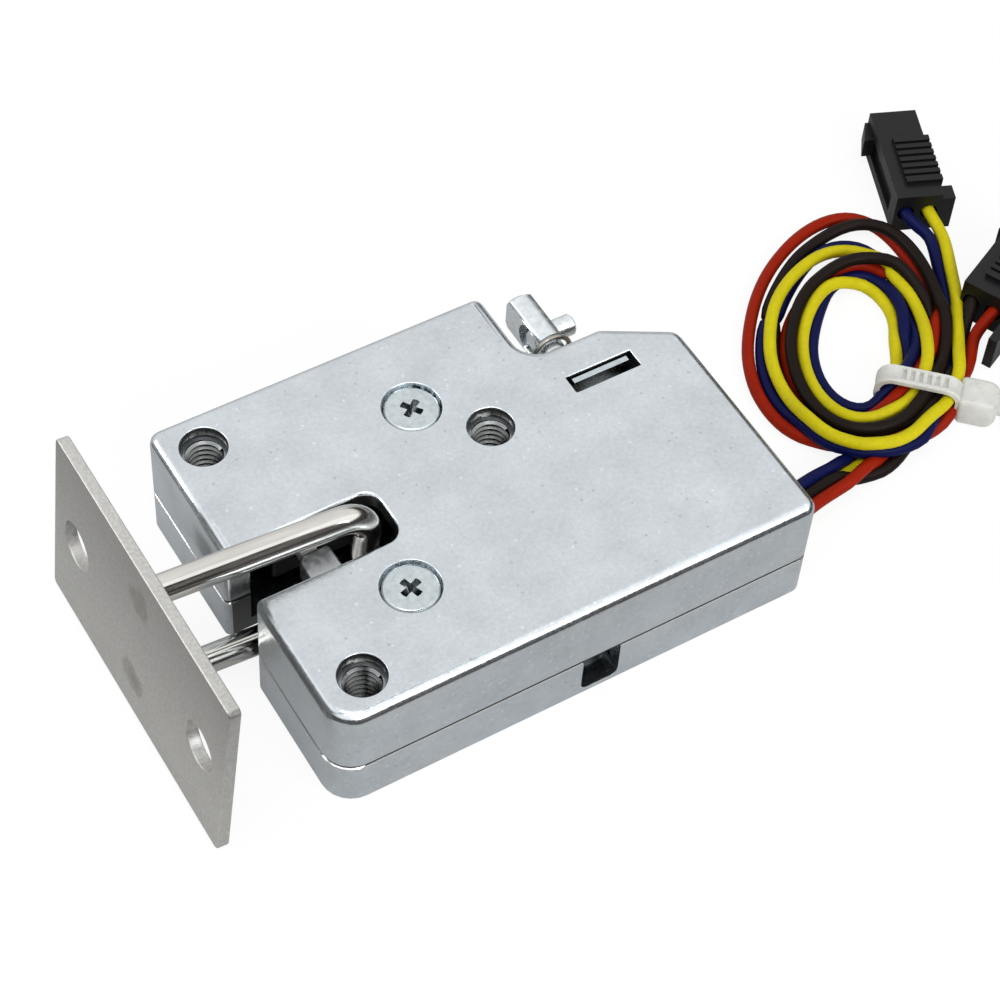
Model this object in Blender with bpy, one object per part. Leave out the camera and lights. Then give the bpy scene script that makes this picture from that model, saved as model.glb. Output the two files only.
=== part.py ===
"""Solenoid cabinet lock: a flat zinc housing with a U-shaped strike caught in its slot.

Metres, +Z up. The origin is the centre of the housing's flat underside. +X runs from the
strike towards the wires, +Y towards the side where the solenoid's plunger comes out.
"""

import math

import bmesh
import bpy
from mathutils import Matrix, Vector

# Housing, seen from above
HOUSING_LENGTH = 0.0504
HOUSING_WIDTH = 0.0370
HOUSING_HEIGHT = 0.0130
PARTING_HEIGHT = 0.0051
PARTING_GAP = 0.00012
NEAR_LEFT_RADIUS = 0.0030
NEAR_RIGHT_RADIUS = 0.0013
FAR_LEFT_RADIUS = 0.0013
TOP_FILLET = 0.0011
WALL = 0.0015
COVER_THICKNESS = 0.0016
FLOOR_THICKNESS = 0.0014
CLEARANCE = 0.0003

# Corner cut away round the plunger
NOTCH_LENGTH = 0.0147
NOTCH_DEPTH = 0.0090
NOTCH_INNER_RADIUS = 0.0025
NOTCH_OUTER_RADIUS = 0.0010
SLANT_LENGTH = 0.0067
SLANT_DROP = 0.0038
SLANT_RADIUS = 0.0015

# Slot that takes the strike
SLOT_WIDTH = 0.0058
SLOT_DEPTH = 0.0152
SLOT_NEAR_INSET = 0.0154
SLOT_END_RADIUS = 0.0016
MOUTH_NEAR_RADIUS = 0.0008
MOUTH_FAR_RADIUS = 0.0006
SLOT_POST = 0.0025
SLOT_WALL = 0.0013

# Threaded fixing holes, as insets from the left and near edges
FIXING_FAR_MARGIN = 0.0041
FIXING_HOLES = ((0.0040, HOUSING_WIDTH - FIXING_FAR_MARGIN), (0.0284, 0.02235), (0.0046, 0.0040))
FIXING_MOUTH_DIAMETER = 0.0045
FIXING_MOUTH_DEPTH = 0.0013
FIXING_BORE_DIAMETER = 0.0037
FIXING_BOSS_DIAMETER = 0.0070

# Cover screws
SCREW_HEAD_DIAMETER = 0.0050
SCREW_HEAD_HEIGHT = 0.0014
SCREW_HEAD_SINK = 0.00025
SCREW_SHANK_DIAMETER = 0.0025
SCREW_TIP_HEIGHT = 0.0008
SCREW_BORE_DIAMETER = 0.0057
SCREW_BOSS_DIAMETER = 0.0076
SCREW_POST_DIAMETER = 0.0064
RECESS_SPAN = 0.0025
RECESS_WIDTH = 0.00075
RECESS_DEPTH = 0.0008
RECESS_TURN = 0.35
SCREW_CROWN_SHARE = 0.55
SCREW_POINT = 0.0005
FAR_SCREW_MARGIN = 0.0091
FAR_SCREW_INSET = (0.0231, HOUSING_WIDTH - FAR_SCREW_MARGIN)

# Hook, turning on the near cover screw
HOOK_PIVOT_INSET = (0.01295, 0.01015)
HOOK_THICKNESS = 0.0024
HOOK_UNDERSIDE = 0.0057
HOOK_HUB_DIAMETER = 0.0088
HOOK_FINGER_WIDTH = 0.0034
HOOK_FINGER_OFFSET = 0.00245
HOOK_LOBE_OFFSET = 0.00155
HOOK_LOBE_REACH = 0.0070
HOOK_TOOTH_RADIUS = 0.0068
HOOK_TOOTH_ROOT = 0.0049
HOOK_TOOTH_SWEEP = (math.radians(-45), math.radians(-8))
HOOK_ROOT_SWEEP = (math.radians(9), math.radians(50))
HOOK_LOBE_WIDTH = 0.0016
THROAT_DEPTH = 0.0074

# Shouldered sleeve and torsion springs
SLEEVE_DIAMETER = 0.0044
SLEEVE_WALL = 0.00065
SHOULDER_DIAMETER = 0.0064
SHOULDER_THICKNESS = 0.0005
PAWL_SHOULDER_DIAMETER = 0.0050
PIN_BEVEL = 0.0002
SLEEVE_FOOT_HEIGHT = 0.0029
TORSION_WIRE = 0.00045
TORSION_TURNS = 2
TORSION_LEG = 0.0030
HOOK_SPRING_START = math.radians(200)
PAWL_SPRING_START = math.radians(80)

# Pawl
PAWL_PIVOT_INSET = (0.0274, 0.0064)
PAWL_HUB_DIAMETER = 0.0064
PAWL_PIN_DIAMETER = 0.0030
PAWL_ARM_WIDTH = 0.0018
PAWL_NOSE = (0.00530, 0.00120)
PAWL_NOSE_SPAN = 0.0022
PAWL_NOSE_SLOPE = (0.74, -0.67)
PAWL_CREST = (0.0009, 0.0019)
PAWL_TAIL_PAD = 0.0022

# Solenoid
SOLENOID_OFFSET = 0.0092
PLUNGER_RISE = 0.0001
PLUNGER_HEIGHT = (FLOOR_THICKNESS + HOUSING_HEIGHT - COVER_THICKNESS) / 2 + PLUNGER_RISE
FRAME_PLATE = 0.0011
FRAME_WIDTH = 0.0102
COIL_GAP = 0.0002
COIL_BUILD = 0.0021
WINDING_SINK = 0.0001
COIL_ROOM_IN_FRAME = FRAME_WIDTH - FRAME_PLATE - CLEARANCE - COIL_GAP
COIL_ROOM_IN_HOUSING = HOUSING_HEIGHT - COVER_THICKNESS - FLOOR_THICKNESS - 2 * CLEARANCE
COIL_DIAMETER = min(COIL_ROOM_IN_FRAME, COIL_ROOM_IN_HOUSING)
PLUNGER_DIAMETER = COIL_DIAMETER - 2 * COIL_BUILD
PLUNGER_SHOULDER = 0.0007
PLUNGER_STEM_DIAMETER = PLUNGER_DIAMETER - 2 * PLUNGER_SHOULDER
PLUNGER_REACH = 0.00135
PLUNGER_HEAD_LENGTH = 0.0061
PLUNGER_FLAT_DEPTH = 0.00095
PLUNGER_HEAD_WIDTH = PLUNGER_DIAMETER - 2 * PLUNGER_FLAT_DEPTH
PLUNGER_TAIL_INSET = 0.0073
PLUNGER_BEVEL = 0.0004
PLUNGER_TAIL_SHOWING = 0.0011
FRAME_FAR_INSET = 0.0130
FRAME_LENGTH = HOUSING_WIDTH - FRAME_FAR_INSET - PLUNGER_TAIL_INSET - PLUNGER_TAIL_SHOWING
FRAME_RADIUS = 0.0014
FRAME_TAB_SINK = 0.0008
BOBBIN_FLANGE = 0.0008
BOBBIN_WALL = 0.0005
CROSS_PIN_DIAMETER = PLUNGER_DIAMETER / 2
CROSS_PIN_LENGTH = 0.0047
CROSS_PIN_SETBACK = 0.0043
CROSS_PIN_MOUTH_DIAMETER = PLUNGER_DIAMETER - 2 * PLUNGER_BEVEL
CROSS_PIN_MOUTH_DEPTH = 0.0005
SPRING_WIRE = 0.0005
SPRING_DIAMETER = PLUNGER_STEM_DIAMETER + 2 * CLEARANCE + 2 * SPRING_WIRE
SPRING_TURNS = 6
WINDOW_LENGTH = 0.0071
WINDOW_WIDTH = 0.0020

# Switch that tells whether the hook is closed
SWITCH_LENGTH = 0.0128
SWITCH_DEPTH = 0.0062
SWITCH_HEIGHT = 0.0058
SWITCH_INSET = 0.0056
SWITCH_PEG_DIAMETER = 0.0018
SWITCH_PEG_SPACING = 0.0065
SWITCH_BUTTON_WIDTH = 0.0016
SWITCH_BUTTON_INSET = 0.0032
SWITCH_BUTTON_POCKET = 0.0014
SWITCH_BUTTON_SINK = 0.0002
SWITCH_PEG_SHARE = 0.68
SWITCH_TAB_THICKNESS = 0.0005
SWITCH_TAB_LENGTH = 0.0030
SWITCH_TAB_WIDTH = 0.0020
SWITCH_TAB_SHARES = (0.30, 0.60, 0.90)
SWITCH_PEG_FOOT = 0.0034

# Strike: a bent round bar welded into a flat plate
STRIKE_BAR_DIAMETER = 0.0030
STRIKE_BAR_SPACING = 0.0134
STRIKE_BEND_RADIUS = 0.0032
STRIKE_LENGTH = 0.0218
STRIKE_TILT = math.radians(5.4)
STRIKE_CENTRE_INSET = (0.0125, 0.0179)
STRIKE_CENTRE_HEIGHT = 0.00835
STRIKE_PLATE_WIDTH = 0.0333
STRIKE_PLATE_HEIGHT = 0.0205
STRIKE_PLATE_THICKNESS = 0.0012
STRIKE_PLATE_CORNER = 0.0006
STRIKE_HOLE_DIAMETER = 0.0048
STRIKE_HOLE_SPACING = 0.0242
STRIKE_SOCKET_DEPTH = 0.0007
WELD_GAP = 0.0001

# Openings for the wires
WIRE_NOTCH_WIDTH = 0.0056
WIRE_NOTCH_INSET = 0.0035
SIDE_NOTCH_WIDTH = 0.0040
SIDE_NOTCH_INSET = 0.0254
SIDE_NOTCH_RADIUS = 0.0008
NOTCH_SILL = 0.0006

# Wires: four leads, their coil, their tails and the tie
WIRE_DIAMETER = 0.00125
WIRE_SPACING = 0.00155
WIRE_START_INSET = 0.0032
WIRE_ROW_HEIGHT = 0.00385
WIRE_LOW_HEIGHT = 0.00235
WIRE_STRAIGHT = 0.0015
COIL_CENTRE = (0.0464, 0.0039)
COIL_LONG_AXIS = (0.475, 0.880)
COIL_OUTER = (0.0163, 0.0112)
COIL_OPENING = (0.0080, 0.0042)
COIL_BASE = 0.0003
COIL_HEIGHT = 0.0036
COIL_EDGE = 0.0010
TIE_CENTRE = (0.0476, -0.0052)
TIE_DIRECTION = (0.722, -0.692)
TIE_WIDTH = 0.0024
TIE_THICKNESS = 0.0009
TIE_BASE = 0.0001
TIE_HEIGHT = 0.0043
TIE_HEAD_LENGTH = 0.0042
TIE_HEAD_WIDTH = 0.0046
TIE_HEAD_HEIGHT = 0.0039
TIE_TAIL_LENGTH = 0.0015

# Connectors, each placed by the middle of its rear face and its heading
CONNECTOR_LENGTH = 0.0125
CONNECTOR_WIDTH = 0.0050
CONNECTOR_HEIGHT = 0.0050
CONNECTOR_FLANGE = (0.0018, 0.0014, 0.0044)
CONNECTOR_PAD = (0.0018, 0.0083, 0.0036, 0.0005)
CONNECTOR_RIBS = 6
CONNECTOR_RIB_GAP = 0.0004
CONNECTOR_GROOVE = (0.0018, 0.0098, 0.0005, 0.0012, 0.0036)
CONNECTOR_HOOK = (0.0026, 0.0010)
CONNECTOR_WALL = 0.0007
CONNECTOR_MOUTH_DEPTH = 0.0070
CONNECTOR_WIRE_DEPTH = 0.0020
CONNECTOR_WIRE_HEIGHT = 0.0026
CONNECTOR_WIRE_SPACING = 0.0025
LATCH_LEVER = (0.0045, 0.0010, 0.0040)
PLUG_PLACE = (0.0619, 0.0141)
PLUG_HEADING = math.radians(68)
SOCKET_PLACE = (0.05995, 0.00014)
SOCKET_HEADING = math.radians(24.9)

# How far round the coil each wire joins or leaves it, from the coil's long axis
LEAD_JOINS = {"blue": math.radians(196), "black": math.radians(187), "red": math.radians(170),
              "yellow": math.radians(177)}
TAIL_LEAVES = {"blue": math.radians(48), "black": math.radians(80), "red": math.radians(95),
               "yellow": math.radians(62)}

LEFT = -HOUSING_LENGTH / 2
RIGHT = HOUSING_LENGTH / 2
NEAR = -HOUSING_WIDTH / 2
FAR = HOUSING_WIDTH / 2
OVERSHOOT = 0.0010
EMBED = 0.0004
SLIVER = 0.00005

ZINC = ("zinc_casting", (0.60, 0.63, 0.66), 0.42, 0.55)
BRIGHT_ZINC = ("zinc_plated_steel", (0.66, 0.69, 0.72), 0.30, 0.85)
POLISHED = ("polished_steel", (0.70, 0.69, 0.66), 0.12, 1.0)
PLAIN_STEEL = ("rolled_steel", (0.42, 0.41, 0.39), 0.48, 0.9)
SPRING_STEEL = ("spring_steel", (0.50, 0.49, 0.46), 0.28, 1.0)
COPPER = ("copper_winding", (0.62, 0.28, 0.12), 0.35, 0.9)
NYLON = ("white_nylon", (0.85, 0.85, 0.80), 0.45, 0.0)
BLACK_PLASTIC = ("black_plastic", (0.02, 0.02, 0.022), 0.40, 0.0)
INSULATION = {
    "blue": ("blue_insulation", (0.02, 0.04, 0.22), 0.40, 0.0),
    "black": ("black_insulation", (0.025, 0.02, 0.02), 0.40, 0.0),
    "red": ("red_insulation", (0.55, 0.05, 0.01), 0.40, 0.0),
    "yellow": ("yellow_insulation", (0.75, 0.62, 0.01), 0.40, 0.0),
}


def clear_scene():
    """Remove every object that the scene holds."""
    for item in list(bpy.data.objects):
        bpy.data.objects.remove(item, do_unlink=True)


def material(finish):
    """Return the Principled material of a finish, making it once."""
    name, colour, roughness, metallic = finish
    found = bpy.data.materials.get(name)
    if found:
        return found
    made = bpy.data.materials.new(name)
    made.use_nodes = True
    shader = made.node_tree.nodes["Principled BSDF"]
    shader.inputs["Base Color"].default_value = (*colour, 1.0)
    shader.inputs["Roughness"].default_value = roughness
    shader.inputs["Metallic"].default_value = metallic
    return made


def inset_point(inset, height=0.0):
    """Place a point by its insets from the housing's left and near edges."""
    return Vector((LEFT + inset[0], NEAR + inset[1], height))


def arc(centre, radius, start, end, steps):
    """Points of a flat arc, angles in radians."""
    points = []
    for step in range(steps + 1):
        angle = start + (end - start) * step / steps
        points.append((centre[0] + radius * math.cos(angle), centre[1] + radius * math.sin(angle)))
    return points


def rounded(corners, step_angle=math.radians(18)):
    """Turn corners given as (x, y, radius) into an outline with arcs at its corners."""
    outline = []
    for index, (x, y, radius) in enumerate(corners):
        here = Vector((x, y))
        before = (Vector(corners[index - 1][:2]) - here).normalized()
        after = (Vector(corners[(index + 1) % len(corners)][:2]) - here).normalized()
        half = before.angle(after) / 2
        if radius <= 0.0 or half > math.radians(89):
            outline.append((x, y))
            continue
        centre = here + (before + after).normalized() * radius / math.sin(half)
        first = here + before * radius / math.tan(half) - centre
        last = here + after * radius / math.tan(half) - centre
        turn = first.angle_signed(last)
        steps = max(2, math.ceil(abs(turn) / step_angle))
        start = math.atan2(first.y, first.x)
        outline += arc(centre, radius, start, start - turn, steps)
    return outline


def sharp(points):
    """Corners without rounding, from plain points."""
    return [(x, y, 0.0) for x, y in points]


def inset_corners(corners, distance):
    """Move each side of an anticlockwise outline inwards, and fit the corner radii to it."""
    result = []
    for index, (x, y, radius) in enumerate(corners):
        here = Vector((x, y))
        arriving = (here - Vector(corners[index - 1][:2])).normalized()
        leaving = (Vector(corners[(index + 1) % len(corners)][:2]) - here).normalized()
        turn = arriving.cross(leaving)
        inward_in = Vector((-arriving.y, arriving.x))
        inward_out = Vector((-leaving.y, leaving.x))
        moved = here + (inward_in + inward_out) * distance / (1 + inward_in.dot(inward_out))
        new_radius = radius - distance if turn > 0 else radius + distance
        result.append((moved.x, moved.y, max(new_radius, 0.0002)))
    return result


def prism(outline, low, high):
    """A closed upright solid over an outline."""
    shape = bmesh.new()
    ring = [shape.verts.new((x, y, low)) for x, y in outline]
    base = shape.faces.new(ring)
    raised = bmesh.ops.extrude_face_region(shape, geom=[base])
    lifted = [item for item in raised["geom"] if isinstance(item, bmesh.types.BMVert)]
    bmesh.ops.translate(shape, verts=lifted, vec=(0.0, 0.0, high - low))
    bmesh.ops.recalc_face_normals(shape, faces=shape.faces)
    return shape


def block(low, high):
    """A closed box between two corners."""
    outline = [(low[0], low[1]), (high[0], low[1]), (high[0], high[1]), (low[0], high[1])]
    return prism(outline, low[2], high[2])


def disc(centre, diameter, low, high, segments=32):
    """An upright cylinder about a point."""
    outline = arc(centre, diameter / 2, 0.0, math.tau, segments)[:-1]
    return prism(outline, low, high)


def turned(profile, segments=32):
    """Spin a profile of (radius, height) points about Z into a closed solid."""
    shape = bmesh.new()
    verts = [shape.verts.new((radius, 0.0, height)) for radius, height in profile]
    edges = [shape.edges.new(pair) for pair in zip(verts, verts[1:] + verts[:1])]
    bmesh.ops.spin(shape, geom=verts + edges, cent=(0, 0, 0), axis=(0, 0, 1), angle=math.tau,
                   steps=segments, use_merge=True)
    bmesh.ops.remove_doubles(shape, verts=shape.verts, dist=1e-7)
    bmesh.ops.dissolve_degenerate(shape, dist=1e-7, edges=shape.edges)
    bmesh.ops.recalc_face_normals(shape, faces=shape.faces)
    return shape


def moved(shape, matrix):
    """Move a shape and return it."""
    bmesh.ops.transform(shape, matrix=matrix, verts=shape.verts)
    return shape


def along(direction, place):
    """A matrix that turns +Z to a direction and moves the origin to a place."""
    turn = Vector((0, 0, 1)).rotation_difference(Vector(direction)).to_matrix().to_4x4()
    return Matrix.Translation(place) @ turn


def make_object(name, shape, finish, place=(0.0, 0.0, 0.0)):
    """Link a shape as a named object whose origin is at a place in the world."""
    mesh = bpy.data.meshes.new(name)
    bmesh.ops.translate(shape, verts=shape.verts, vec=-Vector(place))
    shape.to_mesh(mesh)
    shape.free()
    item = bpy.data.objects.new(name, mesh)
    item.location = place
    bpy.context.scene.collection.objects.link(item)
    mesh.materials.append(material(finish))
    mesh.shade_smooth()
    mesh.set_sharp_from_angle(angle=math.radians(30))
    bpy.context.view_layer.update()
    return item


def combine(item, shape, operation):
    """Cut a shape from an object, or join it on, and bake the result."""
    other = make_object(item.name + "_tool", shape, ZINC)
    change = item.modifiers.new("combine", "BOOLEAN")
    change.operation = operation
    change.solver = "EXACT"
    change.object = other
    bpy.context.view_layer.update()
    result = bpy.data.meshes.new_from_object(item.evaluated_get(bpy.context.evaluated_depsgraph_get()))
    item.modifiers.remove(change)
    old = item.data
    item.data = result
    result.name = item.name
    bpy.data.meshes.remove(old)
    bpy.data.objects.remove(other, do_unlink=True)


def cut(item, *shapes):
    """Cut shapes out of an object."""
    for shape in shapes:
        combine(item, shape, "DIFFERENCE")


def join(item, *shapes):
    """Join shapes onto an object."""
    for shape in shapes:
        combine(item, shape, "UNION")


def bar(name, points, diameter, finish, resolution=2):
    """A round bar or wire along a list of points."""
    curve = bpy.data.curves.new(name, "CURVE")
    curve.dimensions = "3D"
    curve.bevel_depth = diameter / 2
    curve.bevel_resolution = resolution
    curve.resolution_u = 1
    curve.use_fill_caps = True
    spline = curve.splines.new("POLY")
    spline.points.add(len(points) - 1)
    for slot, point in zip(spline.points, points):
        slot.co = (*point, 1.0)
    item = bpy.data.objects.new(name, curve)
    bpy.context.scene.collection.objects.link(item)
    curve.materials.append(material(finish))
    return item


def housing_corners():
    """The housing's outline from above, anticlockwise, as (x, y, radius)."""
    notch_left = RIGHT - NOTCH_LENGTH
    notch_near = FAR - NOTCH_DEPTH
    return [
        (LEFT, NEAR, NEAR_LEFT_RADIUS),
        (RIGHT, NEAR, NEAR_RIGHT_RADIUS),
        (RIGHT, notch_near - SLANT_DROP, SLANT_RADIUS),
        (RIGHT - SLANT_LENGTH, notch_near, SLANT_RADIUS),
        (notch_left, notch_near, NOTCH_INNER_RADIUS),
        (notch_left, FAR, NOTCH_OUTER_RADIUS),
        (LEFT, FAR, FAR_LEFT_RADIUS),
    ]


def slot_sides():
    """The slot's near side, far side and inner end."""
    near = NEAR + SLOT_NEAR_INSET
    return near, near + SLOT_WIDTH, LEFT + SLOT_DEPTH


def slot_corners(grow=0.0):
    """The slot's outline, with a mouth that flares at the housing's left face."""
    near, far, end = slot_sides()
    radius = SLOT_END_RADIUS + grow
    return [(LEFT - OVERSHOOT, near - grow, 0.0), (end + grow, near - grow, radius),
            (end + grow, far + grow, radius), (LEFT - OVERSHOOT, far + grow, 0.0)]


def mouth_relief(side, radius, outward, low, high):
    """The sliver between a square mouth corner and its round, on the side named by outward."""
    flat = [(LEFT - OVERSHOOT, side - outward * OVERSHOOT), (LEFT + radius, side - outward * OVERSHOOT)]
    flat.append((LEFT + radius, side))
    centre = (LEFT + radius, side + outward * radius)
    for step in range(1, 7):
        angle = math.radians(15 * step)
        flat.append((centre[0] - radius * math.sin(angle), centre[1] - outward * radius * math.cos(angle)))
    flat.append((LEFT - OVERSHOOT, side + outward * radius))
    if outward > 0:
        flat.reverse()
    shape = prism(flat, low, high)
    return shape


def slot_cutters(low, high):
    """Everything that opens the slot between two heights."""
    near, far, _ = slot_sides()
    return [
        prism(rounded(slot_corners()), low, high),
        mouth_relief(near, MOUTH_NEAR_RADIUS, -1, low, high),
        mouth_relief(far, MOUTH_FAR_RADIUS, 1, low, high),
    ]


def cavity(low, high, keepers):
    """The hollow inside a shell, less the solids that stand in it."""
    hollow = make_object("cavity", prism(rounded(inset_corners(housing_corners(), WALL)), low, high), ZINC)
    cut(hollow, *keepers)
    shape = bmesh.new()
    shape.from_mesh(hollow.data)
    bpy.data.objects.remove(hollow, do_unlink=True)
    return shape


def plunger_axis():
    """The plunger's axis in X."""
    return RIGHT - SOLENOID_OFFSET


def plunger_opening():
    """The hole in the notch's wall that the plunger's spring passes through."""
    place = (plunger_axis(), FAR - NOTCH_DEPTH - WALL - OVERSHOOT, PLUNGER_HEIGHT)
    hole = disc((0, 0), SPRING_DIAMETER + 4 * CLEARANCE, 0.0, WALL + 2 * OVERSHOOT, 24)
    return moved(hole, along((0, 1, 0), place))


def hook_window():
    """The gap in the slot's walls that the hook swings through."""
    near, _, end = slot_sides()
    low = (LEFT + WALL + SLIVER, near - SLOT_WALL - OVERSHOOT, PARTING_HEIGHT - OVERSHOOT)
    top = HOOK_UNDERSIDE + HOOK_THICKNESS + CLEARANCE
    high = (end + SLOT_WALL + OVERSHOOT, near + SLOT_END_RADIUS + OVERSHOOT, top)
    return block(low, high)


def build_upper_shell():
    """The die-cast cover: fixing bosses, screw seats, slot, window and hook gap."""
    base = PARTING_HEIGHT + PARTING_GAP / 2
    ceiling = HOUSING_HEIGHT - COVER_THICKNESS
    shape = prism(rounded(housing_corners()), base, HOUSING_HEIGHT)
    rim = [edge for edge in shape.edges
           if all(abs(vert.co.z - HOUSING_HEIGHT) < 1e-6 for vert in edge.verts)]
    bmesh.ops.bevel(shape, geom=rim, offset=TOP_FILLET, segments=4, profile=0.5, affect="EDGES")
    shell = make_object("upper_shell", shape, ZINC)
    low = base - OVERSHOOT
    tall = ceiling + OVERSHOOT
    keepers = [disc(inset_point(hole), FIXING_BOSS_DIAMETER, low - OVERSHOOT, tall, 28)
               for hole in FIXING_HOLES]
    hook_top = HOOK_UNDERSIDE + HOOK_THICKNESS + CLEARANCE
    keepers.append(disc(inset_point(HOOK_PIVOT_INSET), SCREW_BOSS_DIAMETER, hook_top, tall, 28))
    keepers.append(disc(inset_point(FAR_SCREW_INSET), SCREW_BOSS_DIAMETER, low - OVERSHOOT, tall, 28))
    keepers.append(disc(inset_point(PAWL_PIVOT_INSET), PAWL_HUB_DIAMETER, hook_top, tall, 28))
    keepers.append(prism(rounded(slot_corners(SLOT_WALL)), low - OVERSHOOT, tall))
    cut(shell, cavity(low, ceiling, keepers), *slot_cutters(low, HOUSING_HEIGHT + OVERSHOOT))
    for hole in FIXING_HOLES:
        mouth = HOUSING_HEIGHT - FIXING_MOUTH_DEPTH
        cut(shell, disc(inset_point(hole), FIXING_BORE_DIAMETER, low, HOUSING_HEIGHT + OVERSHOOT, 28),
            disc(inset_point(hole), FIXING_MOUTH_DIAMETER, mouth, HOUSING_HEIGHT + OVERSHOOT))
    for place in (HOOK_PIVOT_INSET, FAR_SCREW_INSET):
        seat = HOUSING_HEIGHT - SCREW_HEAD_SINK - SCREW_HEAD_HEIGHT - CLEARANCE
        shank = SCREW_SHANK_DIAMETER + 2 * CLEARANCE
        cut(shell, disc(inset_point(place), shank, low, HOUSING_HEIGHT + OVERSHOOT, 20),
            disc(inset_point(place), SCREW_BORE_DIAMETER, seat, HOUSING_HEIGHT + OVERSHOOT))
    cut(shell, hook_window(), plunger_opening(), window_cutter(), slot_window())
    return shell


def window_cutter():
    """The narrow window over the solenoid's end plate."""
    far = FAR - FRAME_FAR_INSET + SLIVER
    axis = plunger_axis()
    low = (axis - WINDOW_LENGTH / 2, far - WINDOW_WIDTH, HOUSING_HEIGHT - COVER_THICKNESS - OVERSHOOT)
    return block(low, (axis + WINDOW_LENGTH / 2, far, HOUSING_HEIGHT + OVERSHOOT))


def slot_window():
    """The gap in the slot's far and end walls that the switch looks through, beside a short post."""
    near, far, end = slot_sides()
    low = (LEFT + SLOT_POST, near + SLOT_END_RADIUS, FLOOR_THICKNESS)
    return block(low, (end + SLOT_WALL + OVERSHOOT, far + SLOT_WALL + OVERSHOOT, HOUSING_HEIGHT - COVER_THICKNESS))


def switch_pegs():
    """The places of the two pegs that hold the switch."""
    middle = LEFT + SWITCH_INSET + SWITCH_LENGTH / 2
    y = slot_sides()[1] + SLOT_WALL + CLEARANCE + SWITCH_DEPTH * SWITCH_PEG_SHARE
    return [(middle - SWITCH_PEG_SPACING / 2, y), (middle + SWITCH_PEG_SPACING / 2, y)]


def build_lower_shell():
    """The die-cast tray: floor, walls, posts, pegs and the two wire notches."""
    top = PARTING_HEIGHT - PARTING_GAP / 2
    tray = make_object("lower_shell", prism(rounded(housing_corners()), 0.0, top), ZINC)
    low = FLOOR_THICKNESS
    tall = top + OVERSHOOT
    foot = low - OVERSHOOT
    keepers = [disc(inset_point(hole), FIXING_BOSS_DIAMETER, foot, tall + OVERSHOOT, 28)
               for hole in FIXING_HOLES]
    post = SLEEVE_FOOT_HEIGHT - CLEARANCE
    keepers.append(disc(inset_point(HOOK_PIVOT_INSET), SCREW_POST_DIAMETER, foot, post, 28))
    keepers.append(disc(inset_point(PAWL_PIVOT_INSET), PAWL_HUB_DIAMETER, foot, post, 28))
    keepers.append(disc(inset_point(FAR_SCREW_INSET), SCREW_BOSS_DIAMETER, foot, tall + OVERSHOOT, 28))
    keepers.append(prism(rounded(slot_corners(SLOT_WALL)), foot, tall + OVERSHOOT))
    cut(tray, cavity(low, tall, keepers), *slot_cutters(-OVERSHOOT, tall + OVERSHOOT))
    peg_top = PLUNGER_HEIGHT + SWITCH_HEIGHT / 2 - CLEARANCE
    for place in switch_pegs():
        join(tray, disc(place, SWITCH_PEG_DIAMETER, low - EMBED, peg_top, 16),
             disc(place, SWITCH_PEG_FOOT, low - EMBED, PLUNGER_HEIGHT - SWITCH_HEIGHT / 2 - CLEARANCE, 16))
    shank = SCREW_SHANK_DIAMETER + 2 * CLEARANCE
    for place in (HOOK_PIVOT_INSET, FAR_SCREW_INSET):
        cut(tray, disc(inset_point(place), shank, SCREW_TIP_HEIGHT - CLEARANCE, tall + OVERSHOOT, 20))
    cut(tray, plunger_opening(), wire_notch(), side_notch(), slot_window())
    return tray


def wire_notch():
    """The opening in the right wall that the wires leave by."""
    low = NEAR + WIRE_NOTCH_INSET
    return block((RIGHT - WALL - OVERSHOOT, low, FLOOR_THICKNESS + SLIVER),
                 (RIGHT + OVERSHOOT, low + WIRE_NOTCH_WIDTH, PARTING_HEIGHT + OVERSHOOT))


def side_notch():
    """The second wire opening, in the near wall, with round lower corners."""
    low = LEFT + SIDE_NOTCH_INSET
    high = low + SIDE_NOTCH_WIDTH
    corners = [(low, NOTCH_SILL, SIDE_NOTCH_RADIUS), (high, NOTCH_SILL, SIDE_NOTCH_RADIUS),
               (high, PARTING_HEIGHT + OVERSHOOT, 0.0), (low, PARTING_HEIGHT + OVERSHOOT, 0.0)]
    shape = prism(rounded(corners), 0.0, WALL + 2 * OVERSHOOT)
    upright = Matrix.Rotation(math.pi / 2, 4, "X")
    return moved(shape, Matrix.Translation((0, NEAR + WALL + OVERSHOOT, 0)) @ upright)


def build_screw(name, place):
    """A pan-head screw with a cross recess."""
    top = HOUSING_HEIGHT - SCREW_HEAD_SINK
    seat = top - SCREW_HEAD_HEIGHT
    head = SCREW_HEAD_DIAMETER / 2
    shank = SCREW_SHANK_DIAMETER / 2
    crown_height = SCREW_HEAD_HEIGHT * SCREW_CROWN_SHARE
    crown = [(head * math.cos(angle), top - crown_height * (1 - math.sin(angle)))
             for angle in (math.radians(18 * step) for step in range(5))]
    profile = [(0.0, SCREW_TIP_HEIGHT), (shank - SCREW_POINT, SCREW_TIP_HEIGHT),
               (shank, SCREW_TIP_HEIGHT + SCREW_POINT), (shank, seat), (head, seat)] + crown + [(0.0, top)]
    centre = inset_point(place)
    screw = make_object(name, moved(turned(profile, 28), Matrix.Translation(centre)), BRIGHT_ZINC, centre)
    for turn in (RECESS_TURN, RECESS_TURN + math.pi / 2):
        arm = block((-RECESS_SPAN / 2, -RECESS_WIDTH / 2, top - RECESS_DEPTH),
                    (RECESS_SPAN / 2, RECESS_WIDTH / 2, top + OVERSHOOT))
        cut(screw, moved(arm, Matrix.Translation(centre) @ Matrix.Rotation(turn, 4, "Z")))
    return screw


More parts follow.
